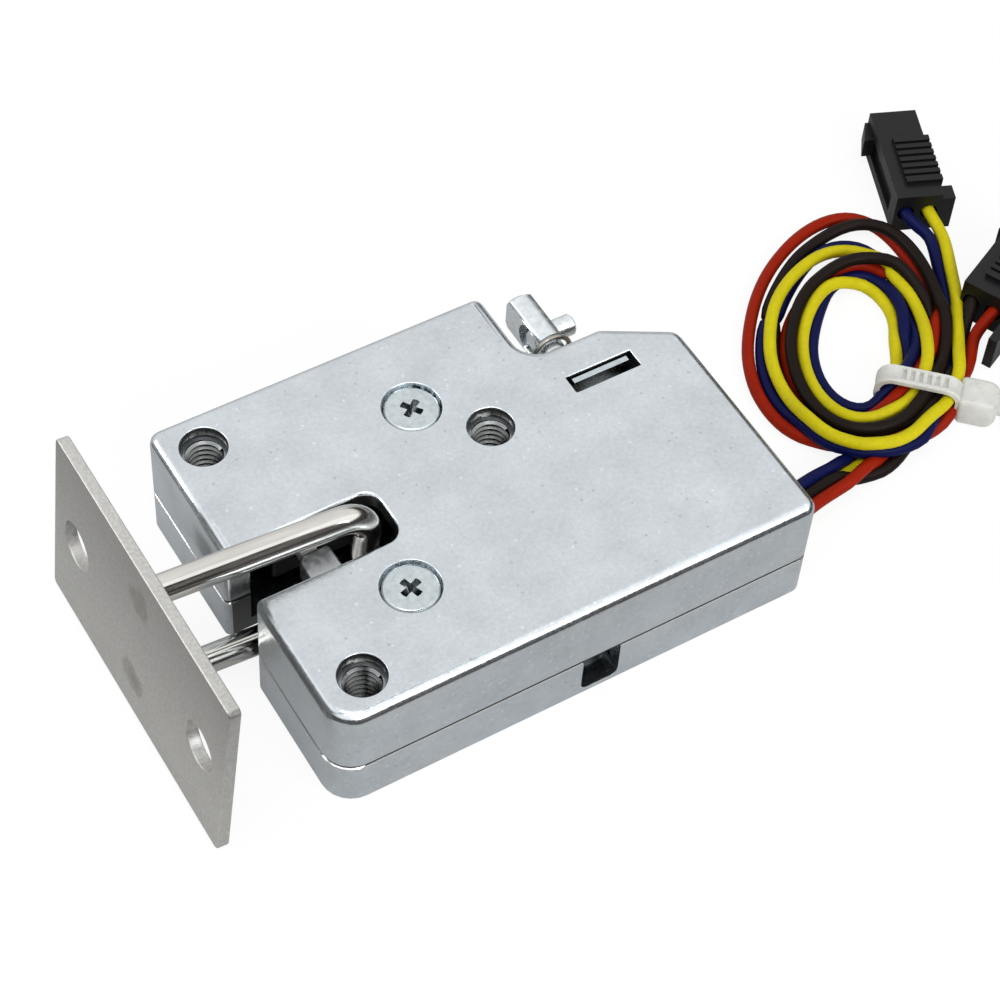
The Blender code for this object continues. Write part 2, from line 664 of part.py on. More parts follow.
def hook_outline():
    """The hook's outline about its pivot: finger, hub, ratchet tooth, rear lobe and throat."""
    hub = HOOK_HUB_DIAMETER / 2
    right = -HOOK_FINGER_OFFSET
    left = right - HOOK_FINGER_WIDTH
    tip = slot_sides()[1] - NEAR - HOOK_PIVOT_INSET[1] - CLEARANCE
    middle = (HOOK_LOBE_OFFSET + right) / 2
    half = (HOOK_LOBE_OFFSET - right) / 2
    lobe = HOOK_LOBE_OFFSET + HOOK_LOBE_WIDTH
    tooth = arc((0, 0), HOOK_TOOTH_RADIUS, *HOOK_TOOTH_SWEEP, 4)
    root = arc((0, 0), HOOK_TOOTH_ROOT, *HOOK_ROOT_SWEEP, 4)
    throat = arc((middle, THROAT_DEPTH), half, math.radians(-25), math.radians(-180), 8)
    finger = [(right, tip, 0.0005), (left, tip, 0.0009), (left, tip * 0.62, 0.0030)]
    back = [(-hub, 0.0, 0.0030), (-hub * 0.75, -hub * 0.9, 0.0025), (hub * 0.35, -hub * 1.05, 0.0020)]
    horn = [(lobe, HOOK_LOBE_REACH * 0.86, 0.0004), (lobe - HOOK_LOBE_WIDTH / 2, HOOK_LOBE_REACH, 0.0003),
            (HOOK_LOBE_OFFSET, HOOK_LOBE_REACH, 0.0003)]
    return rounded(finger + back + sharp(tooth + root) + horn + sharp(throat))


def build_hook():
    """The hook plate, bored for its sleeve."""
    place = inset_point(HOOK_PIVOT_INSET, HOOK_UNDERSIDE)
    shape = prism(hook_outline(), 0.0, HOOK_THICKNESS)
    hook = make_object("hook", moved(shape, Matrix.Translation(place)), BRIGHT_ZINC, place)
    bore = SLEEVE_DIAMETER + 2 * CLEARANCE
    cut(hook, disc(place, bore, place.z - OVERSHOOT, place.z + HOOK_THICKNESS + OVERSHOOT, 28))
    return hook


def build_sleeve():
    """The shouldered sleeve that the hook turns on."""
    outer = SLEEVE_DIAMETER / 2
    inner = outer - SLEEVE_WALL
    low = SLEEVE_FOOT_HEIGHT
    top = HOOK_UNDERSIDE + HOOK_THICKNESS
    shoulder = HOOK_UNDERSIDE - CLEARANCE
    profile = [(inner, low), (outer, low), (outer, shoulder - SHOULDER_THICKNESS),
               (SHOULDER_DIAMETER / 2, shoulder - SHOULDER_THICKNESS), (SHOULDER_DIAMETER / 2, shoulder),
               (outer, shoulder), (outer, top), (inner, top)]
    centre = inset_point(HOOK_PIVOT_INSET)
    return make_object("hook_sleeve", moved(turned(profile, 28), Matrix.Translation(centre)),
                       BRIGHT_ZINC, centre)


def build_pawl_pin():
    """The shouldered pin that the pawl turns on."""
    radius = PAWL_PIN_DIAMETER / 2
    low = SLEEVE_FOOT_HEIGHT
    top = HOOK_UNDERSIDE + HOOK_THICKNESS
    shoulder = HOOK_UNDERSIDE - CLEARANCE
    flange = PAWL_SHOULDER_DIAMETER / 2
    profile = [(0.0, low), (radius, low), (radius, shoulder - SHOULDER_THICKNESS),
               (flange, shoulder - SHOULDER_THICKNESS), (flange, shoulder), (radius, shoulder),
               (radius, top - PIN_BEVEL), (radius - PIN_BEVEL, top), (0.0, top)]
    centre = inset_point(PAWL_PIVOT_INSET)
    return make_object("pawl_pin", moved(turned(profile, 24), Matrix.Translation(centre)),
                       BRIGHT_ZINC, centre)


def torsion_path(centre, inner_diameter, start, turns, low):
    """A torsion spring's wire: a straight leg, the coil and the other leg."""
    radius = inner_diameter / 2 + CLEARANCE + TORSION_WIRE / 2
    pitch = TORSION_WIRE * 1.15
    steps = int(14 * turns)
    points = []
    for step in range(steps + 1):
        angle = start + math.tau * turns * step / steps
        height = low + TORSION_WIRE / 2 + pitch * turns * step / steps
        points.append(Vector((radius * math.cos(angle), radius * math.sin(angle), height)))
    first = points[0] + Vector((math.sin(start), -math.cos(start), 0)) * TORSION_LEG
    end = start + math.tau * turns
    last = points[-1] + Vector((-math.sin(end), math.cos(end), 0)) * TORSION_LEG
    return [centre + point for point in [first] + points + [last]]


def build_torsion_springs():
    """The springs of the hook and the pawl."""
    low = SLEEVE_FOOT_HEIGHT + 0.0001
    hook = bar("hook_spring", torsion_path(inset_point(HOOK_PIVOT_INSET), SLEEVE_DIAMETER,
                                           HOOK_SPRING_START, TORSION_TURNS + 0.25, low),
               TORSION_WIRE, SPRING_STEEL, 1)
    pawl = bar("pawl_spring", torsion_path(inset_point(PAWL_PIVOT_INSET), PAWL_PIN_DIAMETER,
                                           PAWL_SPRING_START, TORSION_TURNS + 0.2, low),
               TORSION_WIRE, SPRING_STEEL, 1)
    return hook, pawl


def pawl_outline():
    """The pawl's outline about its pivot: nose arm to the left, tail arm under the plunger."""
    hub = PAWL_HUB_DIAMETER / 2 * 0.92
    to_hook = Vector(HOOK_PIVOT_INSET) - Vector(PAWL_PIVOT_INSET)
    nose = to_hook + Vector(PAWL_NOSE)
    heel = nose + Vector(PAWL_NOSE_SLOPE) * PAWL_NOSE_SPAN
    crest = nose + Vector(PAWL_CREST)
    tail_x = PLUNGER_TAIL_INSET - CLEARANCE - PAWL_PIVOT_INSET[1]
    tail_end = HOUSING_LENGTH - SOLENOID_OFFSET - PAWL_PIVOT_INSET[0]
    pad = PAWL_TAIL_PAD / 2
    corners = [
        (nose.x, nose.y, 0.0002), (heel.x, heel.y, 0.0012), (-hub * 0.75, -hub * 0.85, 0.0025),
        (hub * 0.4, -hub, 0.0020), (tail_end * 0.45, tail_x - PAWL_ARM_WIDTH, 0.0030),
        (tail_end + pad, tail_x - PAWL_ARM_WIDTH, 0.0007), (tail_end + pad, tail_x, 0.0005),
        (tail_end * 0.4, tail_x, 0.0030), (hub * 0.5, hub, 0.0020), (-hub * 0.6, hub, 0.0022),
        (crest.x, crest.y, 0.0006),
    ]
    return rounded(corners)


def build_pawl():
    """The pawl plate, bored for its pin."""
    place = inset_point(PAWL_PIVOT_INSET, HOOK_UNDERSIDE)
    shape = prism(pawl_outline(), 0.0, HOOK_THICKNESS)
    pawl = make_object("pawl", moved(shape, Matrix.Translation(place)), BRIGHT_ZINC, place)
    bore = PAWL_PIN_DIAMETER + 2 * CLEARANCE
    cut(pawl, disc(place, bore, place.z - OVERSHOOT, place.z + HOOK_THICKNESS + OVERSHOOT, 24))
    return pawl


def build_solenoid_frame():
    """The bent steel frame: two end plates and a side plate, with a tab in the window."""
    axis = plunger_axis()
    far = FAR - FRAME_FAR_INSET
    near = far - FRAME_LENGTH
    left = axis - COIL_DIAMETER / 2 - CLEARANCE
    right = left + FRAME_WIDTH
    low = FLOOR_THICKNESS + CLEARANCE
    high = HOUSING_HEIGHT - COVER_THICKNESS - CLEARANCE
    radius = FRAME_RADIUS
    corners = [(left, near, 0.0), (right, near, radius), (right, far, radius), (left, far, 0.0),
               (left, far - FRAME_PLATE, 0.0), (right - FRAME_PLATE, far - FRAME_PLATE, radius - FRAME_PLATE),
               (right - FRAME_PLATE, near + FRAME_PLATE, radius - FRAME_PLATE),
               (left, near + FRAME_PLATE, 0.0)]
    frame = make_object("solenoid_frame", prism(rounded(corners), low, high), BRIGHT_ZINC)
    tab = WINDOW_LENGTH / 2 - CLEARANCE
    join(frame, block((axis - tab, far - FRAME_PLATE, high - EMBED),
                      (axis + tab, far - SLIVER, HOUSING_HEIGHT - FRAME_TAB_SINK)))
    hole = disc((0, 0), PLUNGER_DIAMETER + 2 * CLEARANCE, 0.0, FRAME_LENGTH + 2 * OVERSHOOT, 28)
    cut(frame, moved(hole, along((0, 1, 0), (axis, near - OVERSHOOT, PLUNGER_HEIGHT))))
    return frame


def coil_span():
    """The near and far ends of the space between the frame's plates."""
    far = FAR - FRAME_FAR_INSET - FRAME_PLATE - CLEARANCE
    return far - FRAME_LENGTH + 2 * FRAME_PLATE + 2 * CLEARANCE, far


def build_bobbin_and_winding():
    """The moulded bobbin and the wire wound on it."""
    near, far = coil_span()
    inner = PLUNGER_DIAMETER / 2 + CLEARANCE
    outer = inner + BOBBIN_WALL
    rim = COIL_DIAMETER / 2
    length = far - near
    profile = [(inner, 0.0), (rim, 0.0), (rim, BOBBIN_FLANGE), (outer, BOBBIN_FLANGE),
               (outer, length - BOBBIN_FLANGE), (rim, length - BOBBIN_FLANGE), (rim, length), (inner, length)]
    place = Vector((plunger_axis(), near, PLUNGER_HEIGHT))
    bobbin = make_object("bobbin", moved(turned(profile, 28), along((0, 1, 0), place)), NYLON, place)
    low = BOBBIN_FLANGE + CLEARANCE
    high = length - BOBBIN_FLANGE - CLEARANCE
    wound = [(outer + CLEARANCE, low), (rim - WINDING_SINK, low), (rim - WINDING_SINK, high), (outer + CLEARANCE, high)]
    winding = make_object("winding", moved(turned(wound, 28), along((0, 1, 0), place)), COPPER, place)
    return bobbin, winding


def build_plunger():
    """The plunger: core, thin stem and a head with two flats, bored for its cross pin."""
    core = PLUNGER_DIAMETER / 2
    stem = PLUNGER_STEM_DIAMETER / 2
    tail = NEAR + PLUNGER_TAIL_INSET
    tip = FAR + PLUNGER_REACH
    length = tip - tail
    shoulder = length - PLUNGER_HEAD_LENGTH
    step = FAR - FRAME_FAR_INSET - tail
    bevel = PLUNGER_BEVEL
    profile = [(0.0, 0.0), (core - bevel, 0.0), (core, bevel), (core, step), (stem, step), (stem, shoulder),
               (core, shoulder), (core, length - bevel), (core - bevel, length), (0.0, length)]
    place = Vector((plunger_axis(), tail, PLUNGER_HEIGHT))
    plunger = make_object("plunger", moved(turned(profile, 28), along((0, 1, 0), place)), BRIGHT_ZINC, place)
    head = place.y + shoulder - SLIVER
    for side in (-1, 1):
        inner = side * PLUNGER_HEAD_WIDTH / 2
        outer = side * (core + OVERSHOOT)
        cut(plunger, block((place.x + min(inner, outer), head, place.z - 2 * core),
                           (place.x + max(inner, outer), tip + OVERSHOOT, place.z + 2 * core)))
    hole = disc((0, 0), CROSS_PIN_DIAMETER + CLEARANCE, -2 * core, 2 * core, 24)
    centre = (place.x, tip - CROSS_PIN_SETBACK, place.z)
    cut(plunger, moved(hole, along((1, 0, 0), centre)))
    face = -PLUNGER_HEAD_WIDTH / 2
    mouth = disc((0, 0), CROSS_PIN_MOUTH_DIAMETER, face - OVERSHOOT, face + CROSS_PIN_MOUTH_DEPTH, 24)
    cut(plunger, moved(mouth, along((1, 0, 0), centre)))
    return plunger


def build_cross_pin():
    """The pin across the plunger's head."""
    radius = CROSS_PIN_DIAMETER / 2
    bevel = PIN_BEVEL
    start = -PLUNGER_HEAD_WIDTH / 2 + CROSS_PIN_MOUTH_DEPTH - PIN_BEVEL
    end = start + CROSS_PIN_LENGTH
    profile = [(0.0, start), (radius - bevel, start), (radius, start + bevel), (radius, end - bevel),
               (radius - bevel, end), (0.0, end)]
    centre = Vector((plunger_axis(), FAR + PLUNGER_REACH - CROSS_PIN_SETBACK, PLUNGER_HEIGHT))
    return make_object("cross_pin", moved(turned(profile, 24), along((1, 0, 0), centre)), BRIGHT_ZINC, centre)


def build_plunger_spring():
    """The spring between the frame's end plate and the plunger's head."""
    start = FAR - FRAME_FAR_INSET + CLEARANCE + SPRING_WIRE / 2
    end = FAR + PLUNGER_REACH - PLUNGER_HEAD_LENGTH - CLEARANCE - SPRING_WIRE / 2
    radius = (SPRING_DIAMETER - SPRING_WIRE) / 2
    steps = 14 * SPRING_TURNS
    points = []
    for step in range(steps + 1):
        share = step / steps
        eased = min(1.0, max(0.0, (share * SPRING_TURNS - 0.8) / (SPRING_TURNS - 1.6)))
        angle = math.tau * SPRING_TURNS * share
        closed = SPRING_WIRE * 0.55 * (share - eased)
        points.append((plunger_axis() + radius * math.cos(angle), start + (end - start) * eased + closed,
                       PLUNGER_HEIGHT + radius * math.sin(angle)))
    return bar("plunger_spring", points, SPRING_WIRE, SPRING_STEEL, 1)


def build_switch():
    """The switch body with its terminals, and its button."""
    _, far, _ = slot_sides()
    near = far + SLOT_WALL + CLEARANCE
    left = LEFT + SWITCH_INSET
    low = PLUNGER_HEIGHT - SWITCH_HEIGHT / 2
    high = PLUNGER_HEIGHT + SWITCH_HEIGHT / 2
    corners = [(left, near, 0.0004), (left + SWITCH_LENGTH, near, 0.0004),
               (left + SWITCH_LENGTH, near + SWITCH_DEPTH, 0.0006), (left, near + SWITCH_DEPTH, 0.0006)]
    body = make_object("switch_body", prism(rounded(corners), low, high), BLACK_PLASTIC)
    for place in switch_pegs():
        cut(body, disc(place, SWITCH_PEG_DIAMETER + 2 * CLEARANCE, low - OVERSHOOT, high + OVERSHOOT, 16))
    button_x = left + SWITCH_BUTTON_INSET
    half = SWITCH_BUTTON_WIDTH / 2
    pocket = SWITCH_BUTTON_POCKET
    cut(body, block((button_x - half - CLEARANCE, near - OVERSHOOT, PLUNGER_HEIGHT - half - CLEARANCE),
                    (button_x + half + CLEARANCE, near + pocket, PLUNGER_HEIGHT + half + CLEARANCE)))
    back = near + SWITCH_DEPTH
    lift = SWITCH_TAB_THICKNESS / 2
    for share in SWITCH_TAB_SHARES:
        x = left + SWITCH_LENGTH * share
        join(body, block((x - SWITCH_TAB_WIDTH / 2, back - EMBED, PLUNGER_HEIGHT - lift),
                         (x + SWITCH_TAB_WIDTH / 2, back + SWITCH_TAB_LENGTH, PLUNGER_HEIGHT + lift)))
    place = Vector((button_x, far, PLUNGER_HEIGHT))
    button = make_object("switch_button",
                         block((button_x - half, far + SWITCH_BUTTON_SINK, PLUNGER_HEIGHT - half),
                               (button_x + half, near + pocket - CLEARANCE, PLUNGER_HEIGHT + half)),
                         NYLON, place)
    return body, button


def strike_matrix():
    """Where the strike's bar loop stands: tilted, with its plate's lower edge by the table."""
    place = inset_point(STRIKE_CENTRE_INSET, STRIKE_CENTRE_HEIGHT)
    return Matrix.Translation(place) @ Matrix.Rotation(STRIKE_TILT, 4, "Y")


def build_strike():
    """The strike's bent bar and its plate, under an empty at the loop's centre."""
    carrier = bpy.data.objects.new("strike_carrier", None)
    bpy.context.scene.collection.objects.link(carrier)
    carrier.matrix_world = strike_matrix()
    bpy.context.view_layer.update()
    half = STRIKE_BAR_SPACING / 2
    bend = STRIKE_BEND_RADIUS
    end = -STRIKE_LENGTH - STRIKE_SOCKET_DEPTH + WELD_GAP
    upper = arc((-bend, half - bend), bend, math.pi / 2, 0.0, 7)
    lower = arc((-bend, bend - half), bend, 0.0, -math.pi / 2, 7)
    path = [(end, 0.0, half)] + [(x, 0.0, z) for x, z in upper + lower] + [(end, 0.0, -half)]
    shackle = bar("strike_shackle", path, STRIKE_BAR_DIAMETER, POLISHED, 3)
    shackle.parent = carrier
    wide = STRIKE_PLATE_WIDTH / 2
    tall = STRIKE_PLATE_HEIGHT / 2
    corner = STRIKE_PLATE_CORNER
    corners = [(-wide, -tall, corner), (wide, -tall, corner), (wide, tall, corner), (-wide, tall, corner)]
    to_plate = Matrix.Translation((-STRIKE_LENGTH, 0, 0)) @ Matrix(
        ((0, 0, -1, 0), (-1, 0, 0, 0), (0, 1, 0, 0), (0, 0, 0, 1)))
    sheet = prism(rounded(corners), 0.0, STRIKE_PLATE_THICKNESS)
    plate = make_object("strike_plate", moved(sheet, to_plate), PLAIN_STEEL)
    for side in (-1, 1):
        hole = disc((side * STRIKE_HOLE_SPACING / 2, 0), STRIKE_HOLE_DIAMETER, -OVERSHOOT,
                    STRIKE_PLATE_THICKNESS + OVERSHOOT, 28)
        socket = disc((0, side * half), STRIKE_BAR_DIAMETER + 2 * WELD_GAP, -OVERSHOOT,
                      STRIKE_SOCKET_DEPTH, 24)
        cut(plate, moved(hole, to_plate), moved(socket, to_plate))
    plate.parent = carrier
    return shackle, plate


def coil_point(angle, extra, height):
    """A point outside the coil, at an angle from its long axis, turning clockwise."""
    along_axis = (COIL_OUTER[0] + extra) * math.cos(angle)
    across = (COIL_OUTER[1] + extra) * math.sin(angle)
    ux, uy = COIL_LONG_AXIS
    return Vector((COIL_CENTRE[0] + along_axis * ux + across * uy,
                   COIL_CENTRE[1] + along_axis * uy - across * ux, height))


def oval(half_axes, segments):
    """An oval outline about the coil's centre."""
    ux, uy = COIL_LONG_AXIS
    points = []
    for step in range(segments):
        angle = -math.tau * step / segments
        a = half_axes[0] * math.cos(angle)
        b = half_axes[1] * math.sin(angle)
        points.append((COIL_CENTRE[0] + a * ux + b * uy, COIL_CENTRE[1] + a * uy - b * ux))
    return points


def smooth(points, steps):
    """Points read from a smooth curve through a route's own points."""
    route = [Vector(point) for point in points]
    route = [2 * route[0] - route[1]] + route + [2 * route[-1] - route[-2]]
    result = []
    for index in range(1, len(route) - 2):
        before, start, end, after = route[index - 1:index + 3]
        for step in range(steps):
            t = step / steps
            result.append(0.5 * (2 * start + (end - before) * t
                                 + (2 * before - 5 * start + 4 * end - after) * t ** 2
                                 + (3 * start - before - 3 * end + after) * t ** 3))
    return result + [route[-2]]


def lead_places():
    """Where each lead crosses the right wall: three in a row and the yellow one under them."""
    middle = NEAR + WIRE_NOTCH_INSET + WIRE_NOTCH_WIDTH / 2
    return {"blue": (middle + WIRE_SPACING, WIRE_ROW_HEIGHT), "black": (middle, WIRE_ROW_HEIGHT),
            "red": (middle - WIRE_SPACING, WIRE_ROW_HEIGHT), "yellow": (middle, WIRE_LOW_HEIGHT)}


def build_leads():
    """The leads from inside the housing to the coil."""
    leads = []
    for colour, (y, height) in lead_places().items():
        final = COIL_BASE + WIRE_DIAMETER / 2
        if colour != "yellow":
            final += WIRE_SPACING
        end = coil_point(LEAD_JOINS[colour], 0.0011, final)
        out = Vector((RIGHT + WIRE_STRAIGHT, y, height))
        fall = Vector((0, 0, (height - final) / 8))
        route = [Vector((RIGHT - WIRE_START_INSET, y, height)), Vector((RIGHT, y, height)), out,
                 out.lerp(end, 0.35), out.lerp(end, 0.70) - fall, end]
        leads.append(bar("lead_" + colour, smooth(route, 3), WIRE_DIAMETER, INSULATION[colour]))
    return leads


def connector_matrix(place, heading):
    """A connector's frame: +X from its rear to its front."""
    return Matrix.Translation((*place, 0.0)) @ Matrix.Rotation(heading, 4, "Z")


def build_tails():
    """The four tails from the coil into the connectors' rear holes."""
    tails = []
    half = CONNECTOR_WIRE_SPACING / 2
    ends = {"blue": (PLUG_PLACE, PLUG_HEADING, half), "yellow": (PLUG_PLACE, PLUG_HEADING, -half),
            "black": (SOCKET_PLACE, SOCKET_HEADING, half), "red": (SOCKET_PLACE, SOCKET_HEADING, -half)}
    for colour, (place, heading, side) in ends.items():
        frame = connector_matrix(place, heading)
        start = coil_point(TAIL_LEAVES[colour], 0.00095, CONNECTOR_WIRE_HEIGHT)
        entry = frame @ Vector((-CLEARANCE, side, CONNECTOR_WIRE_HEIGHT))
        inside = frame @ Vector((CONNECTOR_WIRE_DEPTH - CLEARANCE, side, CONNECTOR_WIRE_HEIGHT))
        middle = start.lerp(entry, 0.55) + (entry - inside).normalized() * 0.0002
        tails.append(bar("tail_" + colour, smooth([start, middle, entry, inside], 4), WIRE_DIAMETER,
                         INSULATION[colour]))
    return tails


def crossings(half_axes, offset):
    """Where the tie's line, moved sideways, crosses an oval about the coil's centre."""
    ux, uy = COIL_LONG_AXIS
    dx, dy = TIE_DIRECTION
    px = TIE_CENTRE[0] - COIL_CENTRE[0] - dy * offset
    py = TIE_CENTRE[1] - COIL_CENTRE[1] + dx * offset
    a, b = (px * ux + py * uy) / half_axes[0], (dx * ux + dy * uy) / half_axes[0]
    c, d = (px * uy - py * ux) / half_axes[1], (dx * uy - dy * ux) / half_axes[1]
    middle = -(a * b + c * d) / (b * b + d * d)
    spread = math.sqrt(max(0.0, middle ** 2 - (a * a + c * c - 1) / (b * b + d * d)))
    return middle - spread, middle + spread


def tie_span():
    """How far the tie's strap reaches along its line, clear of the coil on both sides."""
    half = TIE_WIDTH / 2 + CLEARANCE
    inner = min(crossings(COIL_OPENING, side)[1] for side in (-half, 0.0, half))
    outer = max(crossings(COIL_OUTER, side)[1] for side in (-half, 0.0, half))
    return inner - CLEARANCE, outer + CLEARANCE


def tie_loop(grow):
    """The strap as a closed band round the coil's bundle, thickened by a clearance."""
    start, end = tie_span()
    thick = TIE_THICKNESS
    corner = 0.0012
    def ring(low, high, floor, ceiling, radius):
        return rounded([(low, floor, radius), (high, floor, radius), (high, ceiling, radius),
                        (low, ceiling, radius)])
    half = TIE_WIDTH / 2 + grow
    outer = prism(ring(start - thick - grow, end + thick + grow, TIE_BASE - grow, TIE_HEIGHT + grow,
                       corner + grow), -half, half)
    inner = prism(ring(start + grow, end - grow, TIE_BASE + thick + grow, TIE_HEIGHT - thick - grow,
                       corner - thick + CLEARANCE), -half - OVERSHOOT, half + OVERSHOOT)
    dx, dy = TIE_DIRECTION
    stand = Matrix(((dx, 0, dy, TIE_CENTRE[0]), (dy, 0, -dx, TIE_CENTRE[1]), (0, 1, 0, 0), (0, 0, 0, 1)))
    return moved(outer, stand), moved(inner, stand)


def build_coil():
    """The solid that stands for the coiled wires, pinched where the tie holds them."""
    shape = prism(oval(COIL_OUTER, 48), COIL_BASE, COIL_BASE + COIL_HEIGHT)
    rims = [edge for edge in shape.edges if abs(edge.verts[0].co.z - edge.verts[1].co.z) < SLIVER]
    bmesh.ops.bevel(shape, geom=rims, offset=COIL_EDGE, segments=2, profile=0.5, affect="EDGES")
    coil = make_object("wire_coil", shape, INSULATION["black"])
    cut(coil, prism(oval(COIL_OPENING, 32), -OVERSHOOT, COIL_BASE + COIL_HEIGHT + OVERSHOOT))
    outer, inner = tie_loop(CLEARANCE)
    band = make_object("band", outer, NYLON)
    cut(band, inner)
    groove = bmesh.new()
    groove.from_mesh(band.data)
    bpy.data.objects.remove(band, do_unlink=True)
    cut(coil, groove)
    return coil


def build_tie():
    """The cable tie: strap, head and cut-off tail."""
    outer, inner = tie_loop(0.0)
    tie = make_object("cable_tie", outer, NYLON)
    cut(tie, inner)
    end = tie_span()[1] + TIE_THICKNESS
    dx, dy = TIE_DIRECTION
    frame = Matrix(((dx, -dy, 0, TIE_CENTRE[0]), (dy, dx, 0, TIE_CENTRE[1]), (0, 0, 1, 0), (0, 0, 0, 1)))
    half = TIE_HEAD_WIDTH / 2
    head = rounded([(end - EMBED, -half, 0.0007), (end + TIE_HEAD_LENGTH, -half, 0.0010),
                    (end + TIE_HEAD_LENGTH, half, 0.0010), (end - EMBED, half, 0.0007)])
    join(tie, moved(prism(head, TIE_BASE, TIE_BASE + TIE_HEAD_HEIGHT), frame))
    stub = block((end + TIE_HEAD_LENGTH - EMBED, -TIE_WIDTH / 2, 0.0012),
                 (end + TIE_HEAD_LENGTH + TIE_TAIL_LENGTH, TIE_WIDTH / 2, 0.0012 + TIE_THICKNESS))
    join(tie, moved(stub, frame))
    return tie


def build_connector(name, place, heading, lever):
    """A two-way connector: body, rear flange, ribbed pad, side groove, latch hook and mouth."""
    frame = connector_matrix(place, heading)
    half = CONNECTOR_WIDTH / 2
    length, height = CONNECTOR_LENGTH, CONNECTOR_HEIGHT
    origin = frame @ Vector((0, 0, 0))
    shape = moved(block((0, -half, 0), (length, half, height)), frame)
    body = make_object(name, shape, BLACK_PLASTIC, origin)
    depth, wing, tall = CONNECTOR_FLANGE
    join(body, moved(block((0, -half - wing, 0), (depth, half - EMBED, tall)), frame))
    start, end, width, rise = CONNECTOR_PAD
    pad = block((start, -half - CLEARANCE, height / 2), (end, width - half, height + rise))
    join(body, moved(pad, frame))
    pitch = (end - start) / (CONNECTOR_RIBS + 1)
    for rib in range(CONNECTOR_RIBS):
        x = start + pitch * (rib + 1)
        gap = block((x - CONNECTOR_RIB_GAP / 2, -half - OVERSHOOT, height + rise - CLEARANCE),
                    (x + CONNECTOR_RIB_GAP / 2, width - half + OVERSHOOT, height + OVERSHOOT))
        cut(body, moved(gap, frame))
    start, end, depth, low, high = CONNECTOR_GROOVE
    cut(body, moved(block((start, half - depth, low), (end, half + OVERSHOOT, high)), frame))
    reach, out = CONNECTOR_HOOK
    wedge = [(length, half - EMBED), (length, half + out / 3), (length - reach, half + out),
             (length - reach, half - EMBED)]
    join(body, moved(prism(wedge, low, high), frame))
    wall = CONNECTOR_WALL
    cut(body, moved(block((length - CONNECTOR_MOUTH_DEPTH, wall - half, wall),
                          (length + OVERSHOOT, half - wall - depth, height - wall)), frame))
    for side in (-1, 1):
        hole = disc((0, 0), WIRE_DIAMETER + 2 * CLEARANCE, -OVERSHOOT, CONNECTOR_WIRE_DEPTH, 16)
        place = Matrix.Translation((0, side * CONNECTOR_WIRE_SPACING / 2, CONNECTOR_WIRE_HEIGHT))
        cut(body, moved(hole, frame @ place @ along((1, 0, 0), (0, 0, 0))))
    if lever:
        reach, thick, tall = LATCH_LEVER
        outer = -half - CONNECTOR_FLANGE[1]
        join(body, moved(block((-reach, outer, 0), (EMBED, outer + thick, tall)), frame))
    return body


def main():
    """Build the whole lock."""
    clear_scene()
    build_upper_shell()
    build_lower_shell()
    build_screw("hook_screw", HOOK_PIVOT_INSET)
    build_screw("cover_screw", FAR_SCREW_INSET)
    build_hook()
    build_sleeve()
    build_pawl_pin()
    build_torsion_springs()
    build_pawl()
    build_solenoid_frame()
    build_bobbin_and_winding()
    build_plunger()
    build_cross_pin()
    build_plunger_spring()
    build_switch()
    build_strike()
    build_leads()
    build_coil()
    build_tails()
    build_tie()
    build_connector("plug_housing", PLUG_PLACE, PLUG_HEADING, False)
    build_connector("socket_housing", SOCKET_PLACE, SOCKET_HEADING, True)


main()
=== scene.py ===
"""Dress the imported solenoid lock: cast housing, strike, plunger, wires, tie and connectors.

Everything is in metres in the part's own frame. The solids give the sizes and the places; the
pieces made here carry the rounded rims, threads, welds, wire turns and surface finishes.
"""

from __future__ import annotations

import logging
import math
from dataclasses import dataclass, field
from enum import Enum
from typing import Callable, Sequence

import bmesh
import bpy
import numpy as np
from mathutils import Matrix, Vector


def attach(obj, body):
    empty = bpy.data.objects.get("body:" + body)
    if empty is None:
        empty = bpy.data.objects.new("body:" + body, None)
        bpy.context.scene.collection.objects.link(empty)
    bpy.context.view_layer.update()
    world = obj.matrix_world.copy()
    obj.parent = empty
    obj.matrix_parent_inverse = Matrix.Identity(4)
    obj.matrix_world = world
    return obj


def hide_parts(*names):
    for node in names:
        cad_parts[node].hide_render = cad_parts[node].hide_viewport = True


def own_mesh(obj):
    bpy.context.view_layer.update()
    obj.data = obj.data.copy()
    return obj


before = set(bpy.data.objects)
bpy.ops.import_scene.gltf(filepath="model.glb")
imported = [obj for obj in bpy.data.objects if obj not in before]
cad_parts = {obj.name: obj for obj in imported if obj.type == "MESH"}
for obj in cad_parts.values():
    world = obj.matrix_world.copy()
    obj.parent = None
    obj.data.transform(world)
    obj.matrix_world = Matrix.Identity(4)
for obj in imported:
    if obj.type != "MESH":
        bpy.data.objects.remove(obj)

LOG = logging.getLogger("lock")
Point = tuple[float, float, float]
Outline = list[tuple[float, float]]
Sockets = dict[str, bpy.types.NodeSocket]
MERGE = 1e-7
ROUND_STEPS = 48
ARC_STEPS = 6


class Body(Enum):
    """The rigid bodies that pieces ride on."""

    HOUSING = "housing"
    STRIKE = "strike"
    HOOK = "hook"
    PAWL = "pawl"
    PLUNGER = "plunger"
    BUTTON = "switch_button"


class Colour(Enum):
    """The colours of the wires' insulation, in linear values."""

    BLUE = (0.0030, 0.0055, 0.058)
    BLACK = (0.0100, 0.0060, 0.0048)
    RED = (0.290, 0.012, 0.001)
    YELLOW = (0.620, 0.540, 0.008)


